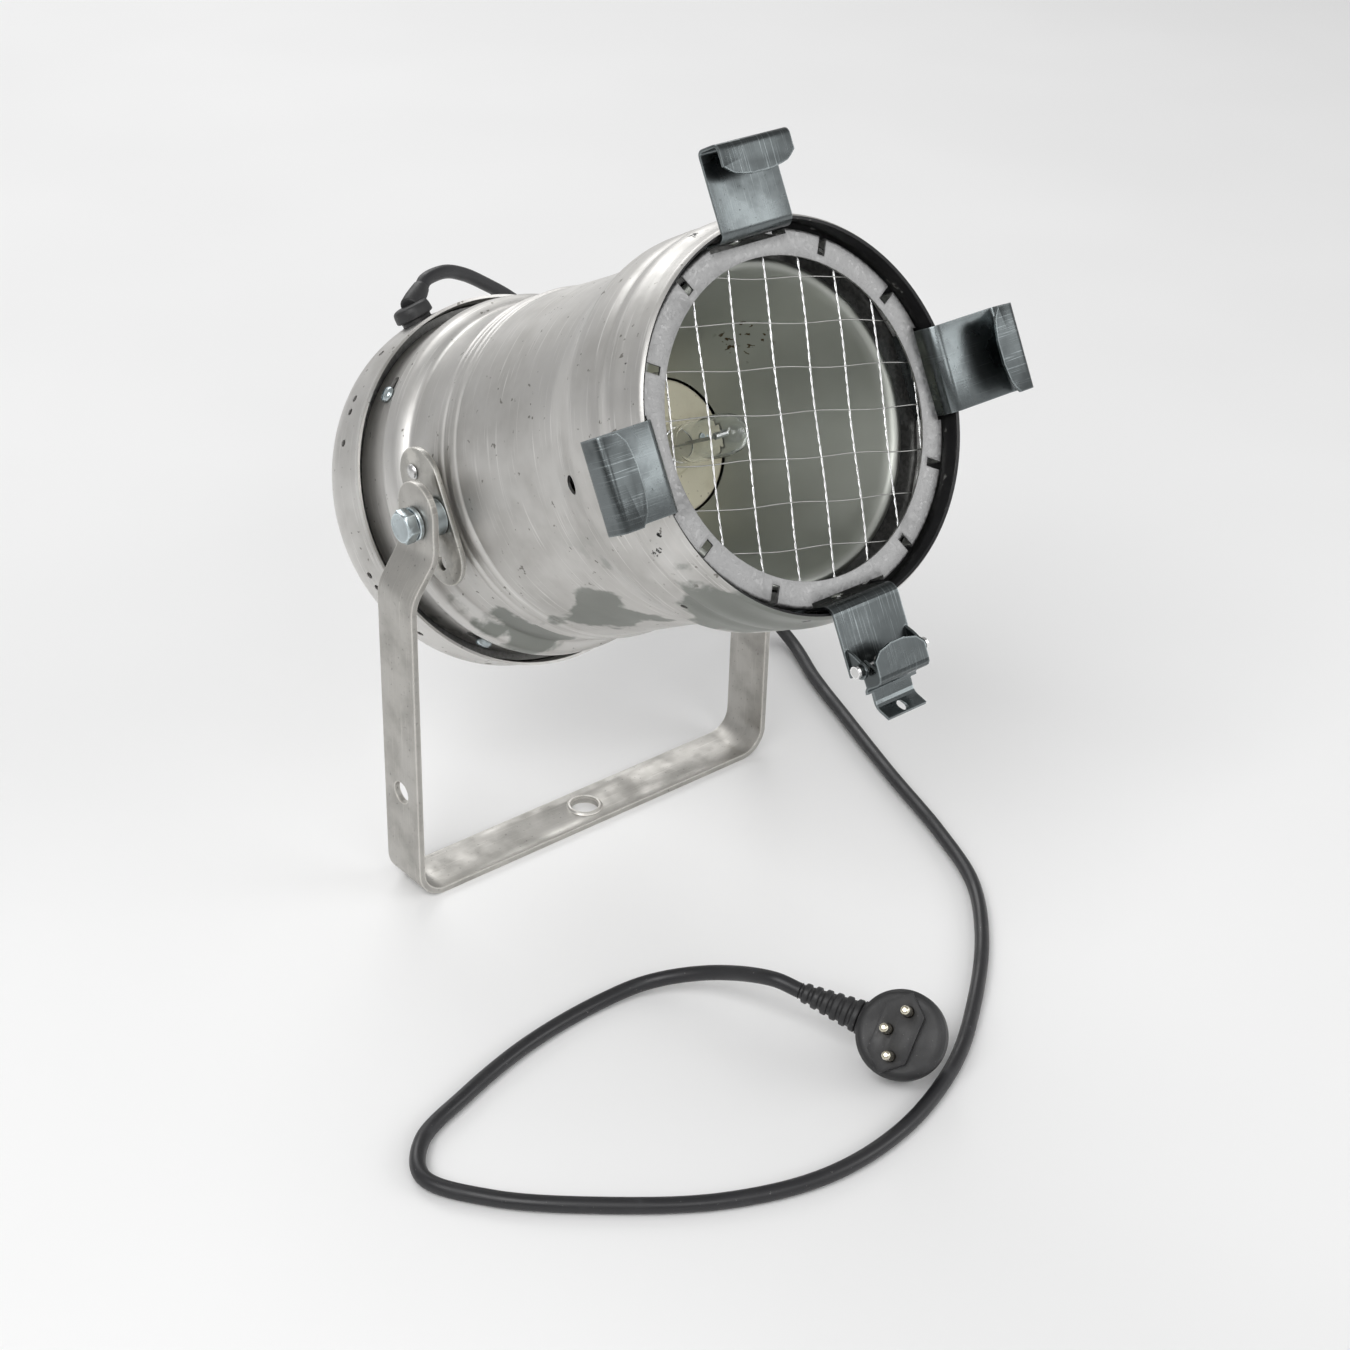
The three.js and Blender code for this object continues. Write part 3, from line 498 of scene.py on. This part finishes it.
def studio():
    world = bpy.data.worlds.new("studio")
    bpy.context.scene.world = world
    world.use_nodes = True
    tree = world.node_tree
    coordinates = tree.nodes.new("ShaderNodeTexCoord")
    noise = tree.nodes.new("ShaderNodeTexNoise")
    noise.inputs["Scale"].default_value = 1.6
    noise.inputs["Detail"].default_value = 1
    tree.links.new(coordinates.outputs["Generated"], noise.inputs["Vector"])
    ramp = tree.nodes.new("ShaderNodeMapRange")
    ramp.inputs["From Min"].default_value = 0.35
    ramp.inputs["From Max"].default_value = 0.65
    ramp.inputs["To Min"].default_value = 0.3
    ramp.inputs["To Max"].default_value = 0.6
    tree.nodes["Background"].inputs["Color"].default_value = (1, 1, 1, 1)
    tree.links.new(noise.outputs["Fac"], ramp.inputs["Value"])
    tree.links.new(ramp.outputs["Result"], tree.nodes["Background"].inputs["Strength"])
    softbox("key", (-1.6, -0.6, 1.9), (0, 0, 0.15), (1.4, 1.4), 28)
    softbox("fill", (1.5, -1.8, 1.2), (0, 0, 0.15), (1.6, 1.0), 12)
    softbox("back", (0.6, 1.9, 1.5), (0, 0, 0.2), (1.8, 0.9), 15)
    softbox("front", (-0.5, -1.9, 1.5), (0, 0, 0.2), (1.0, 1.0), 8)
    floor = mesh_object("floor", block(-6000, 6000, -6000, 6000, -20, 0), WORLD)
    look = Look("floor", (0.9, 0.9, 0.9), 0, 0.7)
    look.tint(look.ramp(look.spots(3, 2), 0.3, 0.8), (0.93, 0.93, 0.93))
    floor.data.materials.append(look.material)
    bpy.context.scene.view_settings.view_transform = "Standard"


camera()
studio()

# ---- mains cord ----
CORD_D = 0.0064
FLOOR_Z = CORD_D / MM / 2 + 0.25
BOOT_S, BOOT_ROLL, BOOT_NOSE = -70.6, -12.5, 14
NOSE_AXIS = Vector((0.785, 0.54, -0.29)).normalized()
CAP_R = 82.6


def boot_core(r):
    return on_can(BOOT_S, BOOT_ROLL, r)


def nose_at(d):
    return boot_core(CAP_R + 6.7) + NOSE_AXIS * d


def from_can(p):
    return CAN @ (p * MM)


PLUG_FACE = PIVOT.xy.to_3d() + Vector((-19.9, -228.4, 23.9)) * MM
PLUG_NORMAL = Vector((-0.629, -0.425, 0.651)).normalized()
TO_CORD = Vector((-0.43, 0.885, 0.16))
TO_CORD = (TO_CORD - PLUG_NORMAL * TO_CORD.dot(PLUG_NORMAL)).normalized()
# The plug's frame: x towards its cord, z out of its pin face, origin in the middle of that face.
PLUG = basis(TO_CORD, PLUG_NORMAL.cross(TO_CORD), PLUG_NORMAL, PLUG_FACE)
PLUG_R, PLUG_T = 18.3, 17
RELIEF = (18.6, 45)


def plug_end(d):
    return PLUG @ (Vector((d, 0, -PLUG_T / 2 - 0.5)) * MM)


# The route from the boot, down behind the can, round in front of the yoke and to the plug.
CORD_ROUTE = [
    (10, 119, 228), (24, 123.5, 222), (39, 127, 212.5), (55, 130, 201), (81, 134, 178), (110, 135, 143),
    (137, 131, 102), (159, 119, 61), (174, 99, 29), (181, 74, 11), (177, 48, 4.6), (165, 20, FLOOR_Z),
    (151, -18, FLOOR_Z), (133, -68, FLOOR_Z), (116, -119, FLOOR_Z), (100, -155, FLOOR_Z),
    (75, -185, FLOOR_Z), (38, -216, FLOOR_Z), (2, -239, FLOOR_Z), (-42, -253.5, FLOOR_Z),
    (-83, -254, FLOOR_Z), (-122, -240, FLOOR_Z), (-160, -213, FLOOR_Z), (-190, -184, FLOOR_Z),
    (-203, -160, FLOOR_Z), (-192, -143, FLOOR_Z), (-164, -132, FLOOR_Z), (-125, -122, FLOOR_Z),
    (-86, -119, 3.6), (-63.5, -124, 6.5), (-46.5, -143, 15),
]


def centripetal(points, steps):
    """A smooth curve through the points, its knots spaced by the root of their distance."""
    p = [points[0] * 2 - points[1], *points, points[-1] * 2 - points[-2]]
    out = []
    for a, b, c, d in zip(p, p[1:], p[2:], p[3:]):
        t = [0.0]
        for u, v in ((a, b), (b, c), (c, d)):
            t.append(t[-1] + math.sqrt((v - u).length))
        for i in range(steps):
            x = t[1] + (t[2] - t[1]) * i / steps
            ab = a.lerp(b, (x - t[0]) / (t[1] - t[0]))
            bc = b.lerp(c, (x - t[1]) / (t[2] - t[1]))
            cd = c.lerp(d, (x - t[2]) / (t[3] - t[2]))
            abc = ab.lerp(bc, (x - t[0]) / (t[2] - t[0]))
            bcd = bc.lerp(cd, (x - t[1]) / (t[3] - t[1]))
            out.append(abc.lerp(bcd, (x - t[1]) / (t[2] - t[1])))
    return out + [points[-1]]


def sweep(path, r, sides):
    """A round tube along a path, its rings turned as little as possible."""
    points, faces = [], []
    side = None
    for i, here in enumerate(path):
        along = (path[min(i + 1, len(path) - 1)] - path[max(i - 1, 0)]).normalized()
        side = along.orthogonal() if side is None else side - along * side.dot(along)
        side.normalize()
        other = along.cross(side)
        for k in range(sides):
            a = 2 * math.pi * k / sides
            points.append(here + (side * math.cos(a) + other * math.sin(a)) * r)
        if i:
            base = (i - 1) * sides
            faces += [(base + k, base + (k + 1) % sides, base + sides + (k + 1) % sides, base + sides + k)
                      for k in range(sides)]
    faces += [tuple(range(sides))[::-1], tuple(range(len(points) - sides, len(points)))]
    return points, faces


def lay_cord():
    route = [from_can(nose_at(BOOT_NOSE + 0.3)), from_can(nose_at(BOOT_NOSE + 5))]
    route += [PIVOT.xy.to_3d() + Vector(p) * MM for p in CORD_ROUTE]
    route += [plug_end(RELIEF[1] + 12), plug_end(RELIEF[1] + 0.3)]
    path = centripetal(route, 14)
    length = sum((b - a).length for a, b in zip(path, path[1:]))
    shape = sweep([p / MM for p in path], CORD_D / MM / 2, 20)
    obj = piece("mains_cord", shape, RUBBER, body=None, matrix=WORLD, nodes=["cord"], smooth=60)
    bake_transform(obj)
    return obj, path, length


cord, cord_path, cord_length = lay_cord()


# ---- plug ----
def plug_pieces():
    mid = -PLUG_T / 2 - 0.5
    r, t = PLUG_R, PLUG_T
    outline = rounded([(-t, 0), (-t, r - 3), (-t + 1.2, r - 0.6), (-t + 4, r), (-5.5, r), (-5, r - 0.7), (-4.2, r - 0.7),
                       (-3.7, r), (-2.2, r), (-0.5, r - 1.4), (0, r - 3), (0, 0)], 1.6)
    neck = rod((10, 0, mid), (RELIEF[0] - 0.3, 0, mid), 7.6, 48, 7)
    body = piece("plug_shell", joined(revolve(outline, 96), neck), MOULDED, "stand", PLUG, ["plug_body"], smooth=40)
    spots = {"live": (0, -9.5), "neutral": (0, 9.5), "earth": (5, 0)}
    face = [(1.5, -17.2), (9.7, -10), (9.7, 10), (1.5, 17.2), (-6.7, 10), (-6.7, -10)]
    hexagon = prism(face, 0.3, 3.5, "z")
    holes = [rod((a, b, -1), (a, b, 6), 2.3) for a, b in spots.values()]
    plate = piece("plug_face_plate", hexagon, MOULDED, "stand", PLUG, ["plug_face"], holes, 0.6)
    pins = []
    for name, (a, b) in spots.items():
        line = rounded([(0.3, 0), (0.3, 2), (17, 2), (18.6, 1.7), (19, 0.9), (19, 0)], 0.6)
        shape = moved(revolve(line, 32), Matrix.Translation((a, b, 0)))
        pins.append(piece(f"pin_{name}", shape, PIN_METAL, "stand", PLUG, [f"plug_pin_{name}"]))
    ribs = []
    for k in range(6):
        at = RELIEF[0] + (RELIEF[1] - RELIEF[0]) * k / 6
        r0 = 6.9 - k * 0.52
        ribs += [(at, r0 - 0.9), (at + 0.5, r0), (at + 2.6, r0 - 0.15), (at + 3.1, r0 - 1.2), (at + 4.1, r0 - 1.3)]
    outline = [(RELIEF[0], 0), *ribs, (RELIEF[1], 3.7), (RELIEF[1], 0)]
    relief = moved(revolve(rounded(outline, 0.4, 2), 40),
                   Matrix.Translation((0, 0, mid)) @ Matrix.Rotation(math.pi / 2, 4, "Y"))
    sleeve = piece("plug_sleeve", relief, MOULDED, "stand", PLUG, ["plug_strain_relief"], smooth=40)
    return [body, plate, *pins, sleeve]


plug_pieces()


# ---- yoke ----
STRAP_W, STRAP_T, YOKE_HALF, JOGGLE = 25, 3, 101.8, 12
ARM_TOP, PIVOT_Z = 198, PIVOT.z / MM


def yoke():
    half = YOKE_HALF - STRAP_T / 2
    side = [(half - JOGGLE, ARM_TOP), (half - JOGGLE, 167), (half, 150), (half, 60)]
    corner = arc(half - 12.5, STRAP_T / 2 + 12.5, 12.5, 0, -90, 12)
    right = rounded(side, 5)[:-1] + corner
    line = right + [Vector((-p.x, p.y)) for p in right[::-1]]
    bar = sheet_outline(line, STRAP_T)
    shape = prism(bar, -STRAP_W / 2, STRAP_W / 2, "y")
    top = arc(0, ARM_TOP - STRAP_W / 2, STRAP_W / 2, 0, 180, 24)
    outside = [(STRAP_W, 150), (STRAP_W, ARM_TOP + 9), (-STRAP_W, ARM_TOP + 9), (-STRAP_W, 150),
               (-STRAP_W / 2 - 0.01, 150)]
    shoulder = prism([*outside, *[(p.x * 1.0008, p.y) for p in top[::-1]], (STRAP_W / 2 + 0.01, 150)], -120, 120)
    holes = [rod((-120, 0, PIVOT_Z), (120, 0, PIVOT_Z), 4.3), rod((-120, 0, 52), (-80, 0, 52), 5),
             rod((0, 0, -5), (0, 0, 9), 6.5, 48)]
    piece("yoke_strap", shape, STRAP, "stand", AT_YOKE, ["yoke"], [shoulder, *holes], 0.45)
    ring = rounded([(2.9, 6.5), (4, 6.6), (4.05, 7.6), (2.9, 8.6)], 0.3)
    piece("yoke_hole_rim", revolve(ring, 64), STRAP, "stand", AT_YOKE)


yoke()

# ---- can ----
T2 = 0.6  # half the sheet
CAN_R, SKIRT_R = 74.4, 77.5
RIM_S = 153.6
SCREW_S, SCREW_ROLLS = -47, (-47, 47, 142, -142)
VENT_ROLLS = (30, 47.5, 52, 62, 103.5, 108, 128, 154)


def bead(s, r, h=1.3, w=3.0):
    return [(s - w, r), (s - w * 0.5, r + h * 0.75), (s, r + h), (s + w * 0.5, r + h * 0.75), (s + w, r)]


def front_housing():
    line = [(-60, SKIRT_R - T2), (-40, SKIRT_R - T2), (-37, 79.6), (-29, 79), (-25.5, 77), (-22, CAN_R - T2),
            *bead(3, CAN_R - T2), *bead(13, CAN_R - T2), (20, CAN_R - T2), (40, CAN_R - 0.6 - T2), (58, CAN_R - 1 - T2),
            (74, CAN_R - 0.9 - T2), (88, CAN_R - 0.4 - T2), (98, 75.4), (108, 79), (124, 79.3), (128.5, 78), (133, 79.5),
            (138, 79.5), (144, 77.4), (151.5, 76.9), (153, 75.8)]
    slots = []
    for roll in SCREW_ROLLS:
        far = -math.copysign(7, roll)
        left, right = min(0, far), max(0, far)
        outline = arc(right, SCREW_S, 2.4, -90, 90, 8) + arc(left, SCREW_S, 2.4, 90, 270, 8)
        slots.append(moved(prism(outline, SKIRT_R - 8, SKIRT_R + 8, "y"), rolled(roll)))
    holes = [across_wall(99, roll, 75, 3.9) for roll in (-89.5, 89.5)]
    holes += [across_wall(120, roll, 78, 1.5) for roll in (-134, 134)]
    holes += [rod((-90, 0, 0), (-60, 0, 0), 4.3), rod((60, 0, 0), (90, 0, 0), 4.3)]
    holes += slots
    obj = piece("can", revolve(sheet_outline(rounded(line, 2.4), 1.2)), SPUN, nodes=["front_housing"],
                cuts=holes, smooth=38)
    obj.data.materials.append(DARK_INSIDE)
    # Inward-facing faces of the front bell past 0.11 m along the axis take the near-black material.
    for face in obj.data.polygons:
        out = Vector((face.center.x, face.center.y, 0)).normalized()
        if face.center.z > 0.11 and face.normal.dot(out) < -0.3:
            face.material_index = 1


def rear_cap():
    line = [(-52.8, CAP_R + 0.3), (-54.5, CAP_R + 0.3), (-56.5, CAP_R - T2), (-66, CAP_R - T2), (-75, CAP_R - T2), (-80, 81),
            (-85, 78.6), (-88.6, 75), (-90.4, 70), (-91, 64), (-90.6, 58), (-88, 55.5), (-87, 52), (-87, 36), (-87, 20),
            (-88, 16), (-90, 12), (-90.4, 6), (-90.4, 0)]
    vents = [across_wall(-69, sign * roll, CAP_R, 1.6) for roll in VENT_ROLLS for sign in (-1, 1)]
    boot = rod(boot_core(CAP_R - 10), boot_core(CAP_R + 5), 7.4)
    piece("cap", dish(rounded(line, 2.4), 1.2), CAP_SPUN, nodes=["rear_cap"], cuts=[joined(*vents), boot],
          smooth=38)
    collar = rounded([(-42, 75.2), (-61.6, 75.2), (-62.6, 76.4), (-62.6, 80.6)], 1)
    piece("collar", revolve(sheet_outline(collar, 1.2), 96), DARK_SHEET, nodes=["cap_collar"])


def cap_screws():
    head = rounded([(SKIRT_R + 0.3, 0), (SKIRT_R + 0.3, 3.7), (SKIRT_R + 1.4, 3.7), (SKIRT_R + 2.5, 2.7),
                    (SKIRT_R + 2.8, 0)], 0.7)
    outline = [(71, 0), (71, 2), (SKIRT_R + 0.2, 2), *head[1:]]
    shape = moved(revolve(outline, 32), Matrix.Rotation(-math.pi / 2, 4, "X"))
    slot = block(-4, 4, SKIRT_R + 1.9, SKIRT_R + 4, -0.45, 0.45)
    for i, roll in enumerate(SCREW_ROLLS):
        place = Matrix.Translation((0, 0, SCREW_S)) @ rolled(roll)
        piece(f"cap_screw_head_{i + 1}", moved(shape, place), FASTENER, nodes=[f"cap_screw_{i + 1}"],
              cuts=[moved(slot, place)])


def boot():
    axis = between(boot_core(CAP_R - 8), boot_core(CAP_R))
    body = rounded([(0, 0), (0, 6.9), (9.8, 6.9), (10, 8.8), (13.4, 8.7), (15.2, 8.2), (16, 6.6), (16.2, 0)], 1.2)
    nose = rounded([(0, 0), (0, 5), (6, 4.8), (11, 4.2), (BOOT_NOSE, 3.7), (BOOT_NOSE, 3.2), (BOOT_NOSE, 0)], 1)
    shape = joined(moved(revolve(body, 48), axis), moved(revolve(nose, 40), between(nose_at(0), nose_at(1))))
    piece("cord_boot", shape, MOULDED, nodes=["cable_boot"], smooth=45)


front_housing()
rear_cap()
cap_screws()
boot()


# ---- tilt bolts and side plates ----
PLATE_IN, PLATE_T, ARM_OUT = CAN_R + 1.9, 2.5, YOKE_HALF - JOGGLE


def ring(s0, s1, r0, r1, segments=56):
    return revolve([(s0, r0), (s1 - 0.2, r0), (s1, r0 + 0.2), (s1, r1 - 0.3), (s1 - 0.3, r1),
                    (s0 + 0.3, r1), (s0, r1 - 0.3)], segments)


def pivot(label, side):
    out = basis(Vector((0, 1, 0)), Vector((0, 0, 1)), Vector((1, 0, 0)), Vector((0, 0, 0)))
    if side < 0:
        out = Matrix.Rotation(math.pi, 4, "Y") @ out
    along = CAN @ out
    hexagon = [(7.5 * math.cos(math.radians(a)), 7.5 * math.sin(math.radians(a))) for a in range(0, 360, 60)]
    start = ARM_OUT + 2.6
    head = prism(hexagon, start, start + 5.2, "z")
    chamfer = revolve([(start + 3.6, 14), (start + 3.6, 8.2), (start + 6, 5.2), (start + 6, 14)], 48)
    piece(f"{label}_bolt_head", head, FASTENER, "head", along, [f"{label}_arm_bolt"], [chamfer], 0.3)
    piece(f"{label}_bolt_shank", revolve([(start - 34 + 5.2, 0), (start - 34 + 5.2, 4), (start + 1, 4), (start + 1, 0)], 40),
          FASTENER, "head", along)
    split = block(4, 9, -0.6, 0.6, ARM_OUT - 1, ARM_OUT + 4)
    piece(f"{label}_split_washer", ring(ARM_OUT + 0.3, ARM_OUT + 2.3, 4.4, 7.2), FASTENER, "head", along,
          [f"{label}_spring_washer"], [split])
    piece(f"{label}_spacer_ring", ring(PLATE_IN + PLATE_T + 0.3, ARM_OUT - STRAP_T - 0.3, 4.3, 8), FASTENER, "head", along,
          [f"{label}_spacer"])
    outline = arc(16, -6, 14, -90, 90, 20) + arc(-16, -6, 14, 90, 270, 20)
    x0 = side * PLATE_IN
    x1 = side * (PLATE_IN + PLATE_T)
    holes = [rod((side * 60, y, s), (side * 100, y, s), r) for s, y, r in ((0, 0, 4.3), (-8.6, 20, 2.1), (-8.6, -20, 3))]
    piece(f"{label}_pivot_plate", prism(outline, min(x0, x1), max(x0, x1)), PLATE, "head", CAN,
          [f"{label}_side_plate"], holes, 0.5)


def rivet(name, r_in, r_out, place, head=3.4):
    outline = [(r_in - 1.3, 0), (r_in, 2.9), (r_in, 1.8), (r_out, 1.8)]
    outline += rounded([(r_out, head), (r_out + 0.9, head * 0.85), (r_out + 1.6, head * 0.35), (r_out + 1.65, 0)], 0.5)
    shape = moved(revolve(outline, 28), Matrix.Rotation(-math.pi / 2, 4, "X"))
    piece(f"{name}_dome", moved(shape, place), BRIGHT, nodes=[name])


for label, side in (("left", -1), ("right", 1)):
    pivot(label, side)
    inner = math.sqrt((CAN_R - 1.2) ** 2 - 22.2**2) - 0.6
    rivet(f"{label}_plate_rivet", inner, PLATE_IN + PLATE_T + 0.3,
          Matrix.Translation((0, 20, -8.6)) @ rolled(90 * side))


# ---- reflector, lamp and guard ----
RIM_R, REFLECTOR_S, HOLE_S, HOLE_R = 62.4, 131.5, 60, 29.4


def optics():
    bowl = []
    for i in range(25):
        r = HOLE_R + (RIM_R - 2 - HOLE_R) * i / 24
        deep = (r * r - HOLE_R**2) / ((RIM_R - 2) ** 2 - HOLE_R**2)
        bowl.append((HOLE_S + (REFLECTOR_S - 2 - HOLE_S) * deep, r))
    lip = rounded([bowl[-1], (REFLECTOR_S - 0.6, RIM_R - 1), (REFLECTOR_S, RIM_R + 0.6),
                   (REFLECTOR_S - 0.9, RIM_R + 1.8)], 0.8)
    piece("reflector_bowl", revolve(sheet_outline(bowl + lip[1:], 1)), REFLECTOR, nodes=["reflector"], smooth=50)
    carrier = rounded([(REFLECTOR_S - 3.2, 64.8), (REFLECTOR_S - 3.2, 76.2), (REFLECTOR_S - 9.5, 76.4)], 1)
    piece("carrier_ring", revolve(sheet_outline(carrier, 1)), DARK_SHEET, nodes=["lamp_ring"])
    base = rounded([(HOLE_S - 7, 0), (HOLE_S - 7, HOLE_R - 1), (HOLE_S - 0.8, HOLE_R - 1), (HOLE_S, HOLE_R - 2), (HOLE_S, 12.5),
                    (HOLE_S + 2, 11.5), (HOLE_S + 2, 0)], 0.8)
    holes = [rod((x, 0, HOLE_S - 30), (x, 0, HOLE_S + 6), 1.9) for x in (-4.75, 4.75)]
    holes += [rod((x, 0, HOLE_S - 9), (x, 0, HOLE_S + 3), 2.1) for x in (-19, 19)]
    piece("ceramic_disc", revolve(base, 72), CERAMIC, nodes=["ceramic_base"], cuts=holes)
    g = HOLE_S + 8.6
    envelope = [(g, 7), (g + 6, 7.2), (g + 10, 8.2), (g + 21, 8.3), (g + 32, 8.2), (g + 37, 7), (g + 40, 4.4), (g + 41.2, 2),
                (g + 43, 0)]
    piece("bulb_envelope", dish(rounded(envelope, 2), 1, 56), GLASS, nodes=["bulb_glass"], smooth=60)


def guard():
    r_in, r_out, front = 62.4, 72.9, 147
    line = rounded([(front - 8, r_out - 0.5), (front - 0.5, r_out - 0.5), (front - 0.5, r_in)], 0.8)
    slots = [moved(block(-1.7, 1.7, 65.4, 76, front - 12, front + 2), rolled(a))
             for a in (30, 60, 120, 150, -30, -60, -120, -150)]
    notches = [moved(block(-18.9, 18.9, 68.3, 76, front - 12, front + 2), rolled(a))
               for a in (0, 90, 180, 270)]
    piece("guard_ring_plate", revolve(sheet_outline(line, 1)), GUARD, nodes=["guard_ring"],
          cuts=slots + notches, bevel=0.15)
    s, reach, pitch = 144.5, 66.6, 17.25
    strands, thin = [], []
    tilt = rolled(12)
    for k in range(8):
        a = (k - 3.5) * pitch + 2
        half = math.sqrt(reach**2 - a**2)
        steps = int(half * 2 / 0.9)
        for phase in (0, math.pi):
            path = []
            for i in range(steps + 1):
                y = -half + 2 * half * i / steps
                turn = y * 2 * math.pi / 9 + phase
                wave = 0.35 * math.sin(y / 11 + k)
                path.append(tilt @ Vector((a + wave + 0.22 * math.cos(turn), y, s + 0.22 * math.sin(turn))))
            strands.append(sweep(path, 0.22, 6))
    for k in range(-3, 4):
        a = k * pitch + 2.4
        half = math.sqrt(reach**2 - a**2)
        path = []
        for i in range(61):
            x = -half + 2 * half * i / 60
            path.append(tilt @ Vector((x, a + 0.45 * math.sin(x / 8 + k * 2),
                                       s + 0.35 * math.cos(x * 2 * math.pi / 34.5))))
        thin.append(sweep(path, 0.27, 6))
    piece("guard_twisted_wires", joined(*strands), BRIGHT, nodes=["wire_guard"], smooth=70)
    piece("guard_cross_wires", joined(*thin), DARK_WIRE, smooth=70)


optics()
guard()

# ---- gel-frame clips ----
CLIP_W, CLIP_T, CLIP_R, CHANNEL, FOOT_R, RIVET_S = 35, 1.2, 105, 11.5, 71.2, 139
WALL_S = RIM_S + 0.6 + CLIP_T / 2
LIP_S = WALL_S + CHANNEL
FOOT = [(RIVET_S - 8, FOOT_R), (RIM_S - 1.2, FOOT_R), (WALL_S, 73.6)]
ROLLS = {"top": 0, "right": 90, "bottom": 180, "left": 270}


def strip(line, width, radius=2.5):
    """A bent strip, from a line of (s, r) points, drawn across the can."""
    return prism([(r, s) for s, r in sheet_outline(rounded(line, radius, 8), CLIP_T)], -width / 2, width / 2)


def lip_corners(w, edge):
    """Wedges that cut a lip's lower corners away, so that its edge bows down in the middle."""
    outline = [(w + 2, edge + 6.4), (w * 0.98, edge + 4.6), (w * 0.86, edge + 2.9), (w * 0.74, edge + 1.6), (w * 0.55, edge + 0.8),
               (w * 0.3, edge + 0.2), (w * 0.3, edge - 3), (w + 2, edge - 3)]
    return [prism([(side * x, y) for x, y in outline], LIP_S - 3, LIP_S + 3, "z") for side in (-1, 1)]


def fixed_clip(side):
    line = [*FOOT, (WALL_S, CLIP_R), (LIP_S, CLIP_R), (LIP_S, CLIP_R - 13)]
    hole = rod((0, 60, RIVET_S), (0, 76, RIVET_S), 2.1)
    piece(f"{side}_gel_clip", strip(line, CLIP_W), ZINC, "head", CAN @ rolled(ROLLS[side]), [f"{side}_clip"],
          [*lip_corners(CLIP_W / 2, CLIP_R - 13), hole], 0.3)


for side in ("top", "left", "right"):
    fixed_clip(side)
for side in ROLLS:
    rivet(f"{side}_clip_rivet", FOOT_R - 0.9, 80.6,
          rolled(ROLLS[side]) @ Matrix.Translation((0, 0, RIVET_S)), 3.2)


# ---- pieces that keep their CAD shape ----
KEPT = {
    ZINC: ["latch_bracket", "latch_lever"],
    BRIGHT: ["latch_pin", "retaining_ring"],
    DARK_WIRE: ["latch_spring", "filament"],
    FASTENER: ["left_inner_washer", "right_inner_washer", "left_nut", "right_nut",
               "holder_screw_1", "holder_screw_2"],
    CERAMIC: ["lamp_holder", "bulb_base", "terminal_block"],
    RUBBER: ["inner_cable"],
    SLEEVE: ["lead_live", "lead_neutral"],
    BRASS: ["earth_screw", "lead_earth"],
}
for material, names in KEPT.items():
    for name in names:
        node = frame["nodes"][name]
        node.data.materials.clear()
        node.data.materials.append(material)
